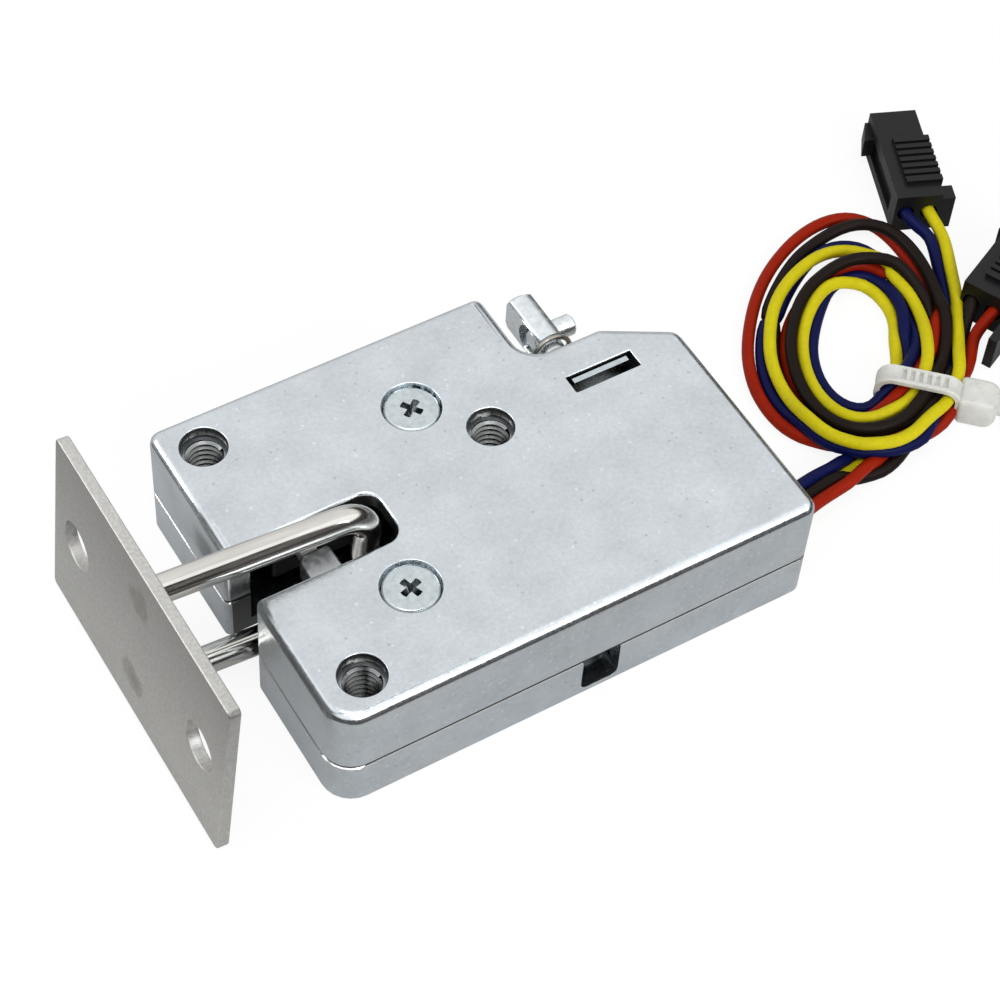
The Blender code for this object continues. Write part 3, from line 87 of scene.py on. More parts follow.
class Graph:
    """A node tree that is being wired up."""

    def __init__(self, tree: bpy.types.NodeTree) -> None:
        """Start on an existing tree.

        Args:
            tree: The material's or the group's node tree.
        """
        self.tree = tree

    def add(self, kind: str, inputs: dict | None = None, **settings: object) -> bpy.types.Node:
        """Add a node, set its properties and feed its inputs.

        Args:
            kind: The node's type name, without the ShaderNode prefix.
            inputs: Values or sockets by input name or index.
            settings: Properties of the node.

        Returns:
            The new node.
        """
        node = self.tree.nodes.new("ShaderNode" + kind)
        for name, value in settings.items():
            setattr(node, name, value)
        for name, value in (inputs or {}).items():
            if isinstance(value, bpy.types.NodeSocket):
                self.tree.links.new(value, node.inputs[name])
            else:
                node.inputs[name].default_value = value
        return node

    def math(self, operation: str, first: object, second: object = 0.0) -> bpy.types.NodeSocket:
        """Add a Math node and return its output."""
        return self.add("Math", {0: first, 1: second}, operation=operation).outputs[0]

    def blend(self, factor: object, first: object, second: object) -> bpy.types.NodeSocket:
        """Mix two colours and return the result's socket."""
        return self.add("Mix", {0: factor, 6: first, 7: second}, data_type="RGBA").outputs[2]

    def span(self, value: object, low: float, high: float, to_low: float,
             to_high: float) -> bpy.types.NodeSocket:
        """Map a value from one range to another, clamped."""
        return self.add("MapRange", {0: value, 1: low, 2: high, 3: to_low, 4: to_high}).outputs[0]

    def noise(self, where: object, scale: object, detail: float,
              roughness: float = 0.5) -> bpy.types.NodeSocket:
        """Add a noise texture and return its value."""
        return self.add("TexNoise", {"Vector": where, "Scale": scale, "Detail": detail,
                                     "Roughness": roughness}).outputs[0]

    def tint(self, colour: object, mask: object, share: float, over: object) -> bpy.types.NodeSocket:
        """Lay one colour over another by a mask at a share of its strength."""
        return self.blend(self.math("MULTIPLY", mask, share), colour, over)


class Effects:
    """Shader node groups that several finishes share, each built once."""

    @staticmethod
    def group(name: str, inputs: dict[str, tuple[str, object]], outputs: Sequence[str],
              fill: Callable[[Graph, bpy.types.Node], Sockets]) -> bpy.types.NodeTree:
        """Build a group, or return it if it is there.

        Args:
            name: The group's name.
            inputs: Socket kind and default value by input name.
            outputs: The names of the outputs, which are all values.
            fill: Wires the inside and returns the output sockets by name.

        Returns:
            The group's node tree.
        """
        found = bpy.data.node_groups.get(name)
        if found:
            return found
        tree = bpy.data.node_groups.new(name, "ShaderNodeTree")
        for label, (kind, value) in inputs.items():
            socket = tree.interface.new_socket(label, in_out="INPUT", socket_type="NodeSocket" + kind)
            if kind == "Float":
                socket.default_value = value
        for label in outputs:
            tree.interface.new_socket(label, in_out="OUTPUT", socket_type="NodeSocketFloat")
        graph = Graph(tree)
        entry = tree.nodes.new("NodeGroupInput")
        leave = tree.nodes.new("NodeGroupOutput")
        for label, socket in fill(graph, entry).items():
            tree.links.new(socket, leave.inputs[label])
        return tree

    @classmethod
    def mottle(cls) -> bpy.types.NodeTree:
        """Cloudy patches over a fine sand-like grain.

        Returns:
            The group's node tree.
        """
        def fill(graph: Graph, entry: bpy.types.Node) -> Sockets:
            """Wire two noises and their even mixture.

            Args:
                graph: The group's graph.
                entry: The group's input node.

            Returns:
                The output sockets by name.
            """
            where = entry.outputs["Vector"]
            cloud = graph.noise(where, entry.outputs["Cloud Scale"], 5.0, 0.62)
            grain = graph.noise(where, entry.outputs["Grain Scale"], 3.0, 0.7)
            clouds = graph.span(cloud, 0.3, 0.7, 0.0, 1.0)
            grains = graph.span(grain, 0.25, 0.75, 0.0, 1.0)
            mixed = graph.math("ADD", graph.math("MULTIPLY", clouds, 0.5),
                               graph.math("MULTIPLY", grains, 0.5))
            return {"Clouds": clouds, "Grain": grains, "Mottle": mixed}
        return cls.group("cloudy grain", {"Vector": ("Vector", None), "Cloud Scale": ("Float", 180.0),
                                          "Grain Scale": ("Float", 2400.0)},
                         ("Clouds", "Grain", "Mottle"), fill)

    @classmethod
    def hairlines(cls) -> bpy.types.NodeTree:
        """Thin scratches that run one way and fade in and out.

        Returns:
            The group's node tree.
        """
        def fill(graph: Graph, entry: bpy.types.Node) -> Sockets:
            """Wire long noise cells whose middle level is a line, kept to patches.

            Args:
                graph: The group's graph.
                entry: The group's input node.

            Returns:
                The output sockets by name.
            """
            where = entry.outputs["Vector"]
            turned = graph.add("VectorRotate", {"Vector": where, "Angle": entry.outputs["Angle"]},
                               rotation_type="Z_AXIS")
            drawn = graph.add("VectorMath", {0: turned.outputs[0], 1: (1.0, 26.0, 26.0)},
                              operation="MULTIPLY")
            lines = graph.noise(drawn.outputs[0], entry.outputs["Scale"], 2.0)
            thin = graph.span(graph.math("ABSOLUTE", graph.math("SUBTRACT", lines, 0.5)),
                              0.0, 0.012, 1.0, 0.0)
            here = graph.span(graph.noise(where, 90.0, 1.0), 0.52, 0.66, 0.0, 1.0)
            return {"Mask": graph.math("MULTIPLY", thin, here)}
        return cls.group("hairlines", {"Vector": ("Vector", None), "Scale": ("Float", 110.0),
                                       "Angle": ("Float", 0.3)}, ("Mask",), fill)

    @classmethod
    def edge_wear(cls) -> bpy.types.NodeTree:
        """A mask that is high on edges and broken up by grain.

        Returns:
            The group's node tree.
        """
        def fill(graph: Graph, entry: bpy.types.Node) -> Sockets:
            """Wire the turn between the rounded and the true normal, broken up by noise.

            Args:
                graph: The group's graph.
                entry: The group's input node.

            Returns:
                The output sockets by name.
            """
            soft = graph.add("Bevel", {"Radius": entry.outputs["Radius"]}, samples=4)
            sharp = graph.add("NewGeometry")
            along = graph.add("VectorMath", {0: soft.outputs[0], 1: sharp.outputs["Normal"]},
                              operation="DOT_PRODUCT")
            edge = graph.span(along.outputs["Value"], 0.92, 0.999, 1.0, 0.0)
            rough = graph.span(graph.noise(entry.outputs["Vector"], 900.0, 3.0), 0.32, 0.6, 0.25, 1.0)
            return {"Mask": graph.math("MULTIPLY", edge, rough)}
        return cls.group("edge wear", {"Vector": ("Vector", None), "Radius": ("Float", 0.0002)},
                         ("Mask",), fill)

    @classmethod
    def specks(cls) -> bpy.types.NodeTree:
        """Scattered small pits and bright nicks.

        Returns:
            The group's node tree.
        """
        def fill(graph: Graph, entry: bpy.types.Node) -> Sockets:
            """Wire the middles of a few cells, picked by the cells' own colours.

            Args:
                graph: The group's graph.
                entry: The group's input node.

            Returns:
                The output sockets by name.
            """
            cells = graph.add("TexVoronoi", {"Vector": entry.outputs["Vector"],
                                             "Scale": entry.outputs["Scale"]})
            chosen = graph.add("SeparateXYZ", {0: cells.outputs["Color"]})
            spot = graph.span(cells.outputs["Distance"], 0.10, 0.26, 1.0, 0.0)
            pits = graph.math("MULTIPLY", spot, graph.math("GREATER_THAN", chosen.outputs[0], 0.86))
            nicks = graph.math("MULTIPLY", spot, graph.math("GREATER_THAN", chosen.outputs[1], 0.88))
            return {"Pits": pits, "Nicks": nicks}
        return cls.group("specks", {"Vector": ("Vector", None), "Scale": ("Float", 1300.0)},
                         ("Pits", "Nicks"), fill)

    @classmethod
    def recess(cls) -> bpy.types.NodeTree:
        """A mask that is high in holes, gaps and inner corners, where the finishes paint shade.

        Returns:
            The group's node tree.
        """
        def fill(graph: Graph, entry: bpy.types.Node) -> Sockets:
            """Wire how much is shut off nearby, with a ragged rim.

            Args:
                graph: The group's graph.
                entry: The group's input node.

            Returns:
                The output sockets by name.
            """
            sky = graph.add("AmbientOcclusion", {"Distance": entry.outputs["Distance"]},
                            samples=8, only_local=True)
            noise = graph.noise(entry.outputs["Vector"], 700.0, 2.0)
            ragged = graph.math("ADD", sky.outputs["AO"], graph.span(noise, 0.3, 0.7, -0.05, 0.05))
            return {"Mask": graph.span(ragged, 0.30, 0.90, 1.0, 0.0)}
        return cls.group("recess", {"Vector": ("Vector", None), "Distance": ("Float", 0.0025)},
                         ("Mask",), fill)


@dataclass(frozen=True)
class Finish:
    """A surface finish: a plain base that its subclasses give detail to."""

    name: str
    colour: Point
    roughness: float
    metallic: float = 0.0

    def material(self) -> bpy.types.Material:
        """Return the finish's material, made once.

        Returns:
            The material.
        """
        found = bpy.data.materials.get(self.name)
        if found:
            return found
        made = bpy.data.materials.new(self.name)
        made.use_nodes = True
        graph = Graph(made.node_tree)
        shader = made.node_tree.nodes["Principled BSDF"]
        shader.inputs["Metallic"].default_value = self.metallic
        shader.inputs["Roughness"].default_value = self.roughness
        where = graph.add("TexCoord").outputs["Object"]
        self.paint(graph, shader, where)
        return made

    def place(self, graph: Graph, tree: bpy.types.NodeTree, values: dict) -> bpy.types.Node:
        """Put an effect group into the material with its own values."""
        return graph.add("Group", values, node_tree=tree)

    def shade(self, factor: float) -> tuple[float, float, float, float]:
        """The base colour, lighter or darker."""
        return tuple(min(1.0, channel * factor) for channel in self.colour) + (1.0,)

    def feed(self, graph: Graph, shader: bpy.types.Node, colour: bpy.types.NodeSocket,
             rough: bpy.types.NodeSocket, height: bpy.types.NodeSocket, strength: float,
             distance: float) -> None:
        """Wire the colour, the roughness and a bump into the shader.

        Args:
            graph: The material's graph.
            shader: Its Principled shader.
            colour: The base colour.
            rough: The roughness.
            height: The bump's height.
            strength: The bump's strength.
            distance: The bump's depth in metres.
        """
        bump = graph.add("Bump", {"Height": height, "Strength": strength, "Distance": distance})
        for socket, name in ((colour, "Base Color"), (rough, "Roughness"), (bump.outputs[0], "Normal")):
            graph.tree.links.new(socket, shader.inputs[name])

    def paint(self, graph: Graph, shader: bpy.types.Node, where: bpy.types.NodeSocket) -> None:
        """Feed the shader its colour, roughness and bump.

        Args:
            graph: The material's graph.
            shader: Its Principled shader.
            where: Object coordinates.
        """
        raise NotImplementedError


@dataclass(frozen=True)
class CastZinc(Finish):
    """Tumbled zinc casting: pale, cloudy, finely pitted, brighter on its edges and with painted shade in its
    recesses.
    """

    grain: float = 2300.0
    depth: float = 0.16
    # How strongly shade is painted into recesses.
    recess_shade: float = 0.92
    # The parting line's bands: a dark one, partly the joint and partly painted shade, and a pale one below
    # it, a painted highlight.
    seam: tuple[float, float] = (0.00520, 0.00493)
    seam_reach: tuple[float, float] = (0.00020, 0.00006)
    seam_shadow_and_highlight: tuple[float, float] = (0.04, 1.6)
    seam_strength: float = 0.94

    def paint(self, graph: Graph, shader: bpy.types.Node, where: bpy.types.NodeSocket) -> None:
        """Cloudy colour, worn edges, faint scratches, painted shade in recesses, the parting line's bands and
        a sandy bump.

        Args:
            graph: The material's graph.
            shader: Its Principled shader.
            where: Object coordinates.
        """
        mottle = self.place(graph, Effects.mottle(), {"Vector": where, "Grain Scale": self.grain,
                                                      "Cloud Scale": 210.0})
        scratch = self.place(graph, Effects.hairlines(), {"Vector": where})
        wear = self.place(graph, Effects.edge_wear(), {"Vector": where, "Radius": 0.00022})
        specks = self.place(graph, Effects.specks(), {"Vector": where})
        colour = graph.blend(mottle.outputs["Mottle"], self.shade(0.82), self.shade(1.13))
        colour = graph.tint(colour, specks.outputs["Pits"], 0.42, self.shade(0.45))
        colour = graph.tint(colour, specks.outputs["Nicks"], 0.5, self.shade(1.4))
        colour = graph.tint(colour, scratch.outputs[0], 0.35, self.shade(1.3))
        colour = graph.tint(colour, wear.outputs[0], 0.6, self.shade(1.28))
        # Painted shade: the zinc turns near black in holes, gaps and inner corners.
        hollow = self.place(graph, Effects.recess(), {"Vector": where, "Distance": 0.0028})
        colour = graph.tint(colour, hollow.outputs[0], self.recess_shade, self.shade(0.10))
        # Parting line painted by height: a near-black band for the joint and the shade in it, and a pale band
        # that paints the chamfer's highlight.
        height = graph.add("SeparateXYZ", {0: where}).outputs[2]
        for level, reach, shade in zip(self.seam, self.seam_reach, self.seam_shadow_and_highlight):
            away = graph.math("ABSOLUTE", graph.math("SUBTRACT", height, level))
            band = graph.span(away, reach, reach * 1.15, self.seam_strength, 0.0)
            colour = graph.blend(band, colour, self.shade(shade))
        rough = graph.span(mottle.outputs["Grain"], 0.0, 1.0, self.roughness - 0.05, self.roughness + 0.07)
        rough = graph.math("SUBTRACT", rough, graph.math("MULTIPLY", wear.outputs[0], 0.12))
        self.feed(graph, shader, colour, rough, mottle.outputs["Grain"], self.depth, 0.00004)


@dataclass(frozen=True)
class TurnedSteel(Finish):
    """Plated or polished steel with fine lines left by turning or drawing."""

    stretch: Point = (1.0, 1.0, 1.0)
    lines: float = 900.0
    depth: float = 0.10
    contrast: float = 0.16
    # How strongly, and towards which colour, shade is painted into recesses.
    recess_shade: float = 0.92
    recess_shade_colour: Point = (0.035, 0.033, 0.022)

    def paint(self, graph: Graph, shader: bpy.types.Node, where: bpy.types.NodeSocket) -> None:
        """Drawn lines in the colour, the roughness and the bump, with painted shade in recesses.

        Args:
            graph: The material's graph.
            shader: Its Principled shader.
            where: Object coordinates.
        """
        drawn = graph.add("VectorMath", {0: where, 1: self.stretch}, operation="MULTIPLY").outputs[0]
        value = graph.span(graph.noise(drawn, self.lines, 4.0, 0.6), 0.3, 0.7, 0.0, 1.0)
        mottle = self.place(graph, Effects.mottle(), {"Vector": where, "Cloud Scale": 320.0,
                                                      "Grain Scale": 3000.0})
        wear = self.place(graph, Effects.edge_wear(), {"Vector": where, "Radius": 0.00012})
        colour = graph.blend(value, self.shade(1.0 - self.contrast), self.shade(1.0 + self.contrast / 2))
        colour = graph.tint(colour, mottle.outputs["Clouds"], 0.35, self.shade(0.86))
        colour = graph.blend(wear.outputs[0], colour, self.shade(1.22))
        # Painted shade: the steel darkens towards a dark brown in holes, gaps and inner corners.
        hollow = self.place(graph, Effects.recess(), {"Vector": where, "Distance": 0.0012})
        colour = graph.tint(colour, hollow.outputs[0], self.recess_shade, (*self.recess_shade_colour, 1.0))
        rough = graph.span(value, 0.0, 1.0, self.roughness * 0.8, self.roughness * 1.25)
        self.feed(graph, shader, colour, rough, value, self.depth, 0.00002)


@dataclass(frozen=True)
class RolledSheet(Finish):
    """Plain rolled sheet: an even grain, with heat-tinted spots where the bar is welded behind."""

    spots: tuple[tuple[Point, float], ...] = ()
    heat: Point = (0.17, 0.115, 0.07)
    spot_strength: float = 0.5
    halo_strength: float = 0.38

    def paint(self, graph: Graph, shader: bpy.types.Node, where: bpy.types.NodeSocket) -> None:
        """Fine grain, soft clouds, heat spots and bright edges.

        Args:
            graph: The material's graph.
            shader: Its Principled shader.
            where: Object coordinates.
        """
        mottle = self.place(graph, Effects.mottle(), {"Vector": where, "Cloud Scale": 120.0,
                                                      "Grain Scale": 3400.0})
        wear = self.place(graph, Effects.edge_wear(), {"Vector": where, "Radius": 0.00015})
        colour = graph.blend(mottle.outputs["Grain"], self.shade(0.72), self.shade(1.20))
        colour = graph.tint(colour, mottle.outputs["Clouds"], 0.25, self.shade(1.12))
        for centre, radius in self.spots:
            away = graph.add("VectorMath", {0: where, 1: centre}, operation="DISTANCE").outputs["Value"]
            reach = graph.math("MULTIPLY", graph.noise(where, 420.0, 4.0), radius * 1.6)
            inside = graph.math("SUBTRACT", reach, away)
            spot = graph.span(inside, -radius * 0.25, radius * 0.7, 0.0, self.spot_strength)
            off = graph.math("ABSOLUTE", graph.math("SUBTRACT", away, graph.math("MULTIPLY", reach, 0.85)))
            halo = graph.span(off, 0.0, radius * 0.3, self.halo_strength, 0.0)
            colour = graph.blend(graph.math("MAXIMUM", spot, halo), colour, (*self.heat, 1.0))
        colour = graph.blend(wear.outputs[0], colour, self.shade(1.35))
        rough = graph.span(mottle.outputs["Grain"], 0.0, 1.0, self.roughness - 0.08, self.roughness + 0.08)
        self.feed(graph, shader, colour, rough, mottle.outputs["Grain"], 0.25, 0.00003)


@dataclass(frozen=True)
class Moulded(Finish):
    """Moulded or extruded plastic: slight grain, soft clouds and scuffed edges."""

    grain: float = 2600.0
    depth: float = 0.12
    scuff: float = 1.6
    translucent: float = 0.0
    gloss: float = 0.35

    def paint(self, graph: Graph, shader: bpy.types.Node, where: bpy.types.NodeSocket) -> None:
        """Grainy colour, scuffed edges and a light bump.

        Args:
            graph: The material's graph.
            shader: Its Principled shader.
            where: Object coordinates.
        """
        mottle = self.place(graph, Effects.mottle(), {"Vector": where, "Cloud Scale": 260.0,
                                                      "Grain Scale": self.grain})
        wear = self.place(graph, Effects.edge_wear(), {"Vector": where, "Radius": 0.00012})
        colour = graph.blend(mottle.outputs["Mottle"], self.shade(0.84), self.shade(1.14))
        colour = graph.blend(wear.outputs[0], colour, self.shade(self.scuff))
        rough = graph.span(mottle.outputs["Grain"], 0.0, 1.0, self.roughness - 0.06, self.roughness + 0.08)
        self.feed(graph, shader, colour, rough, mottle.outputs["Mottle"], self.depth, 0.00003)
        shader.inputs["Specular IOR Level"].default_value = self.gloss
        if self.translucent:
            shader.inputs["Subsurface Weight"].default_value = self.translucent
            shader.inputs["Subsurface Radius"].default_value = (0.0012, 0.0012, 0.0010)
            shader.inputs["Transmission Weight"].default_value = self.translucent * 0.2


ZINC = CastZinc("cast zinc", (0.625, 0.668, 0.700), 0.22, 1.0)
# A darker copy of the cast zinc: painted shade on the walls inside the holes, the slot and the window.
SHADED_WALL_ZINC = CastZinc("shaded wall zinc", (0.17, 0.175, 0.175), 0.34, 1.0, depth=0.2, recess_shade=0.95)
# A darker copy of the cast zinc for the threads inside the fixing holes: painted shade.
SHADED_THREAD_ZINC = CastZinc("shaded tapped zinc", (0.24, 0.25, 0.25), 0.24, 1.0, depth=0.2, recess_shade=0.85)
PLATED = TurnedSteel("plated steel", (0.58, 0.64, 0.67), 0.24, 1.0, lines=1500.0, depth=0.12, contrast=0.20)
SCREW_STEEL = TurnedSteel("screw steel", (0.60, 0.66, 0.68), 0.24, 1.0, lines=1500.0, depth=0.12,
                          contrast=0.20, recess_shade=0.62)
HEAD_STEEL = TurnedSteel("head steel", (0.80, 0.85, 0.87), 0.27, 1.0, lines=1500.0, depth=0.12,
                         contrast=0.18, recess_shade=0.45)
HOOK_STEEL = TurnedSteel("hook steel", (0.82, 0.84, 0.85), 0.36, 1.0, lines=1500.0, depth=0.12, recess_shade=0.20)
POLISHED = TurnedSteel("polished bar", (0.70, 0.685, 0.65), 0.13, 1.0, stretch=(0.06, 1.0, 1.0),
                       lines=1700.0, depth=0.07, contrast=0.12)
SPRING = TurnedSteel("spring wire", (0.42, 0.40, 0.36), 0.26, 1.0, lines=1200.0, contrast=0.2)
COPPER = TurnedSteel("enamelled copper", (0.62, 0.26, 0.10), 0.30, 0.9, stretch=(1.0, 14.0, 1.0),
                     lines=500.0, depth=0.4, contrast=0.3)
TINNED = TurnedSteel("tinned contact", (0.62, 0.60, 0.54), 0.28, 1.0, lines=1400.0, contrast=0.15)
BLACK_MOULDING = Moulded("black moulding", (0.0045, 0.0048, 0.0056), 0.42, depth=0.25, scuff=3.0, gloss=0.28)
NYLON = Moulded("natural nylon", (0.70, 0.70, 0.665), 0.30, grain=900.0, depth=0.02, scuff=1.10,
                translucent=0.3, gloss=0.5)
INSULATION = {colour: Moulded(colour.name.lower() + " insulation", colour.value, 0.40, grain=1900.0,
                              scuff=1.15, gloss=0.09) for colour in Colour}


def linked(name: str, data: bpy.types.ID) -> bpy.types.Object:
    """Put data on an object at the origin, in the scene.

    Args:
        name: The object's name.
        data: Its mesh, curve, camera or lamp.

    Returns:
        The object.
    """
    item = bpy.data.objects.new(name, data)
    bpy.context.scene.collection.objects.link(item)
    return item


def evaluated(item: bpy.types.Object) -> bpy.types.Mesh:
    """An object's mesh with its modifiers or its bevel applied."""
    bpy.context.view_layer.update()
    return bpy.data.meshes.new_from_object(item.evaluated_get(bpy.context.evaluated_depsgraph_get()))


def scratch_object(name: str, shape: bmesh.types.BMesh) -> bpy.types.Object:
    """Put a shape on an object at the origin.

    Args:
        name: The object's name.
        shape: The shape, which is used up.

    Returns:
        The object.
    """
    mesh = bpy.data.meshes.new(name)
    shape.to_mesh(mesh)
    shape.free()
    return linked(name, mesh)


def joined(name: str, shapes: Sequence[bmesh.types.BMesh]) -> bpy.types.Object:
    """Put several shapes on one object without merging them.

    Args:
        name: The object's name.
        shapes: The shapes, which are used up.

    Returns:
        The object.
    """
    whole = bmesh.new()
    for shape in shapes:
        part = bpy.data.meshes.new("part")
        shape.to_mesh(part)
        shape.free()
        whole.from_mesh(part)
        bpy.data.meshes.remove(part)
    return scratch_object(name, whole)


def cut(item: bpy.types.Object, shapes: Sequence[bmesh.types.BMesh]) -> None:
    """Cut shapes from an object and keep the result as its mesh.

    Args:
        item: The object to change.
        shapes: Closed shapes, which are used up.
    """
    for shape in shapes:
        other = scratch_object(item.name + "_tool", shape)
        change = item.modifiers.new("cut", "BOOLEAN")
        change.operation = "DIFFERENCE"
        change.solver = "EXACT"
        change.object = other
        result = evaluated(item)
        item.modifiers.remove(change)
        old = item.data
        item.data = result
        bpy.data.meshes.remove(old)
        bpy.data.objects.remove(other, do_unlink=True)


def settle(item: bpy.types.Object, finish: Finish, body: Body, slot: str, nodes: Sequence[str] = (),
           sharp: float = 32.0) -> bpy.types.Object:
    """Shade a finished piece, dress it, hide the solids that it replaces and say what it rides on.

    Args:
        item: The piece, at the origin.
        finish: Its finish.
        body: The body that it rides on.
        slot: The record's material slot; not used.
        nodes: The CAD nodes that it replaces.
        sharp: Edges over this many degrees stay sharp.

    Returns:
        The piece.
    """
    if item.type == "MESH":
        item.data.materials.clear()
        item.data.shade_smooth()
        item.data.set_sharp_from_angle(angle=math.radians(sharp))
    item.data.materials.append(finish.material())
    if nodes:
        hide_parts(*nodes)
    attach(item, body.value)
    LOG.info("%s rides on %s", item.name, body.value)
    return item


def copied(node: str) -> bmesh.types.BMesh:
    """Copy a node's shape, with its loose triangles merged and its flat faces whole.

    Args:
        node: The CAD node's name.

    Returns:
        The copy.
    """
    shape = bmesh.new()
    shape.from_mesh(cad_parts[node].data)
    bmesh.ops.remove_doubles(shape, verts=shape.verts, dist=2e-6)
    bmesh.ops.dissolve_limit(shape, angle_limit=math.radians(0.4), verts=shape.verts, edges=shape.edges)
    return shape


def weighted(item: bpy.types.Object) -> None:
    """Keep wide faces flat beside rounded ones.

    Args:
        item: The object.
    """
    change = item.modifiers.new("weighted", "WEIGHTED_NORMAL")
    change.keep_sharp = True
    change.weight = 100


def softened(item: bpy.types.Object, width: float, angle: float = 35.0, segments: int = 2) -> None:
    """Round an object's edges a little with a live bevel.

    Args:
        item: The object.
        width: The bevel's width.
        angle: Edges sharper than this many degrees are rounded.
        segments: The bevel's facets.
    """
    change = item.modifiers.new("soft edges", "BEVEL")
    change.width = width
    change.segments = segments
    change.limit_method = "ANGLE"
    change.angle_limit = math.radians(angle)
    change.harden_normals = False


def ring_points(radius: float, centre: tuple[float, float], count: int) -> Outline:
    """Points round a circle."""
    return [(centre[0] + radius * math.cos(math.tau * step / count),
             centre[1] + radius * math.sin(math.tau * step / count)) for step in range(count)]


def arc(centre: Vector, radius: float, start: float, end: float, steps: int) -> Outline:
    """Points of a flat arc."""
    angles = [start + (end - start) * step / steps for step in range(steps + 1)]
    return [(centre.x + radius * math.cos(angle), centre.y + radius * math.sin(angle)) for angle in angles]


def rounded(corners: Sequence[tuple[float, float, float]], steps: int = ARC_STEPS) -> Outline:
    """Round the corners of an outline.

    Args:
        corners: Each corner's x, y and radius.
        steps: Facets of each arc, which then has one point more.

    Returns:
        The outline.
    """
    outline: Outline = []
    for index, (x, y, radius) in enumerate(corners):
        here = Vector((x, y))
        before = (Vector(corners[index - 1][:2]) - here).normalized()
        after = (Vector(corners[(index + 1) % len(corners)][:2]) - here).normalized()
        half = before.angle(after) / 2
        if radius <= 0.0:
            outline += [(x, y)] * (steps + 1)
            continue
        centre = here + (before + after).normalized() * radius / math.sin(half)
        first = here + before * radius / math.tan(half) - centre
        last = here + after * radius / math.tan(half) - centre
        start = math.atan2(first.y, first.x)
        outline += arc(centre, radius, start, start - first.angle_signed(last), steps)
    return outline


def closed_up(shape: bmesh.types.BMesh) -> bmesh.types.BMesh:
    """Merge a shape's doubles, drop its empty faces and turn its faces outwards.

    Args:
        shape: The shape, which is changed.

    Returns:
        The same shape.
    """
    bmesh.ops.remove_doubles(shape, verts=shape.verts, dist=MERGE)
    bmesh.ops.dissolve_degenerate(shape, dist=MERGE, edges=shape.edges)
    bmesh.ops.recalc_face_normals(shape, faces=shape.faces)
    return shape


def lofted(rings: Sequence[tuple[Outline, float]]) -> bmesh.types.BMesh:
    """Loft a closed upright solid.

    Args:
        rings: Outlines with the same number of points, each with its height.

    Returns:
        The solid.
    """
    shape = bmesh.new()
    loops = []
    for outline, height in rings:
        loops.append([shape.verts.new((x, y, height)) for x, y in outline])
    edges = [[shape.edges.new(pair) for pair in zip(loop, loop[1:] + loop[:1])] for loop in loops]
    for lower, upper in zip(edges, edges[1:]):
        bmesh.ops.bridge_loops(shape, edges=lower + upper)
    shape.faces.new(loops[0])
    shape.faces.new(loops[-1])
    return closed_up(shape)


def flare(outline: Callable[[float], Outline], top: float, radius: float, depth: float,
          steps: int = 4) -> bmesh.types.BMesh:
    """A cutter that rounds the rim of an opening in a top face.

    Args:
        outline: Gives the opening's outline, grown by a distance.
        top: The top face's height.
        radius: The rim's radius.
        depth: How far the cutter goes on below the rim.
        steps: Facets across the rim.

    Returns:
        The closed cutter.
    """
    rings = [(outline(0.0), top - depth), (outline(0.0), top - radius)]
    for step in range(1, steps + 1):
        angle = math.radians(90.0 * step / steps)
        rings.append((outline(radius * (1.0 - math.cos(angle))), top - radius * (1.0 - math.sin(angle))))
    rings.append((outline(radius), top + radius))
    return lofted(rings)


def spun(profile: Sequence[tuple[float, float]], segments: int) -> bmesh.types.BMesh:
    """Spin a profile about Z into a closed shape.

    Args:
        profile: Points as (radius, height).
        segments: Facets round the shape.

    Returns:
        The shape.
    """
    shape = bmesh.new()
    verts = [shape.verts.new((radius, 0.0, height)) for radius, height in profile]
    edges = [shape.edges.new(pair) for pair in zip(verts, verts[1:] + verts[:1])]
    bmesh.ops.spin(shape, geom=verts + edges, cent=(0, 0, 0), axis=(0, 0, 1), angle=math.tau,
                   steps=segments, use_merge=True)
    return closed_up(shape)


def moved(shape: bmesh.types.BMesh, matrix: Matrix) -> bmesh.types.BMesh:
    """Move a shape and return it."""
    bmesh.ops.transform(shape, matrix=matrix, verts=shape.verts)
    return shape


def swept(path: Sequence[Vector], section: Callable[[int], Outline], side: Vector,
          closed: bool) -> bmesh.types.BMesh:
    """Carry a section along a path that lies in a plane.

    Args:
        path: The path's points.
        section: Gives each path point's section, as (across, outward) from the path.
        side: The plane's normal, which the section's first axis follows.
        closed: Whether the path is a loop.

    Returns:
        The swept shape.
    """
    shape = bmesh.new()
    count = len(path)
    rings = []
    for index, point in enumerate(path):
        after = path[(index + 1) % count] if closed or index < count - 1 else point
        before = path[index - 1] if closed or index else point
        out = (after - before).normalized().cross(side)
        rings.append([shape.verts.new(point + side * across + out * up) for across, up in section(index)])
    edges = [[shape.edges.new(pair) for pair in zip(ring, ring[1:] + ring[:1])] for ring in rings]
    pairs = list(zip(edges, edges[1:])) + ([(edges[-1], edges[0])] if closed else [])
    for lower, upper in pairs:
        bmesh.ops.bridge_loops(shape, edges=lower + upper)
    if not closed:
        shape.faces.new(rings[0])
        shape.faces.new(rings[-1])
    bmesh.ops.recalc_face_normals(shape, faces=shape.faces)
    return shape


def run_length(points: np.ndarray) -> np.ndarray:
    """The way covered along a row of points, at each of them."""
    return np.concatenate([[0.0], np.cumsum(np.linalg.norm(np.diff(points, axis=0), axis=1))])


def tube(name: str, points: Sequence[Point], diameter: float, resolution: int = 5) -> bpy.types.Object:
    """Draw a round wire as one open spline with filled ends.

    Args:
        name: The object's name.
        points: The wire's middle line.
        diameter: The wire's thickness.
        resolution: How finely the wire is rounded.

    Returns:
        The curve object.
    """
    curve = bpy.data.curves.new(name, "CURVE")
    curve.dimensions = "3D"
    curve.bevel_depth = diameter / 2
    curve.bevel_resolution = resolution
    curve.resolution_u = 1
    curve.use_fill_caps = True
    spline = curve.splines.new("POLY")
    spline.points.add(len(points) - 1)
    for slot, point in zip(spline.points, points):
        slot.co = (*point, 1.0)
    spline.use_smooth = True
    return linked(name, curve)


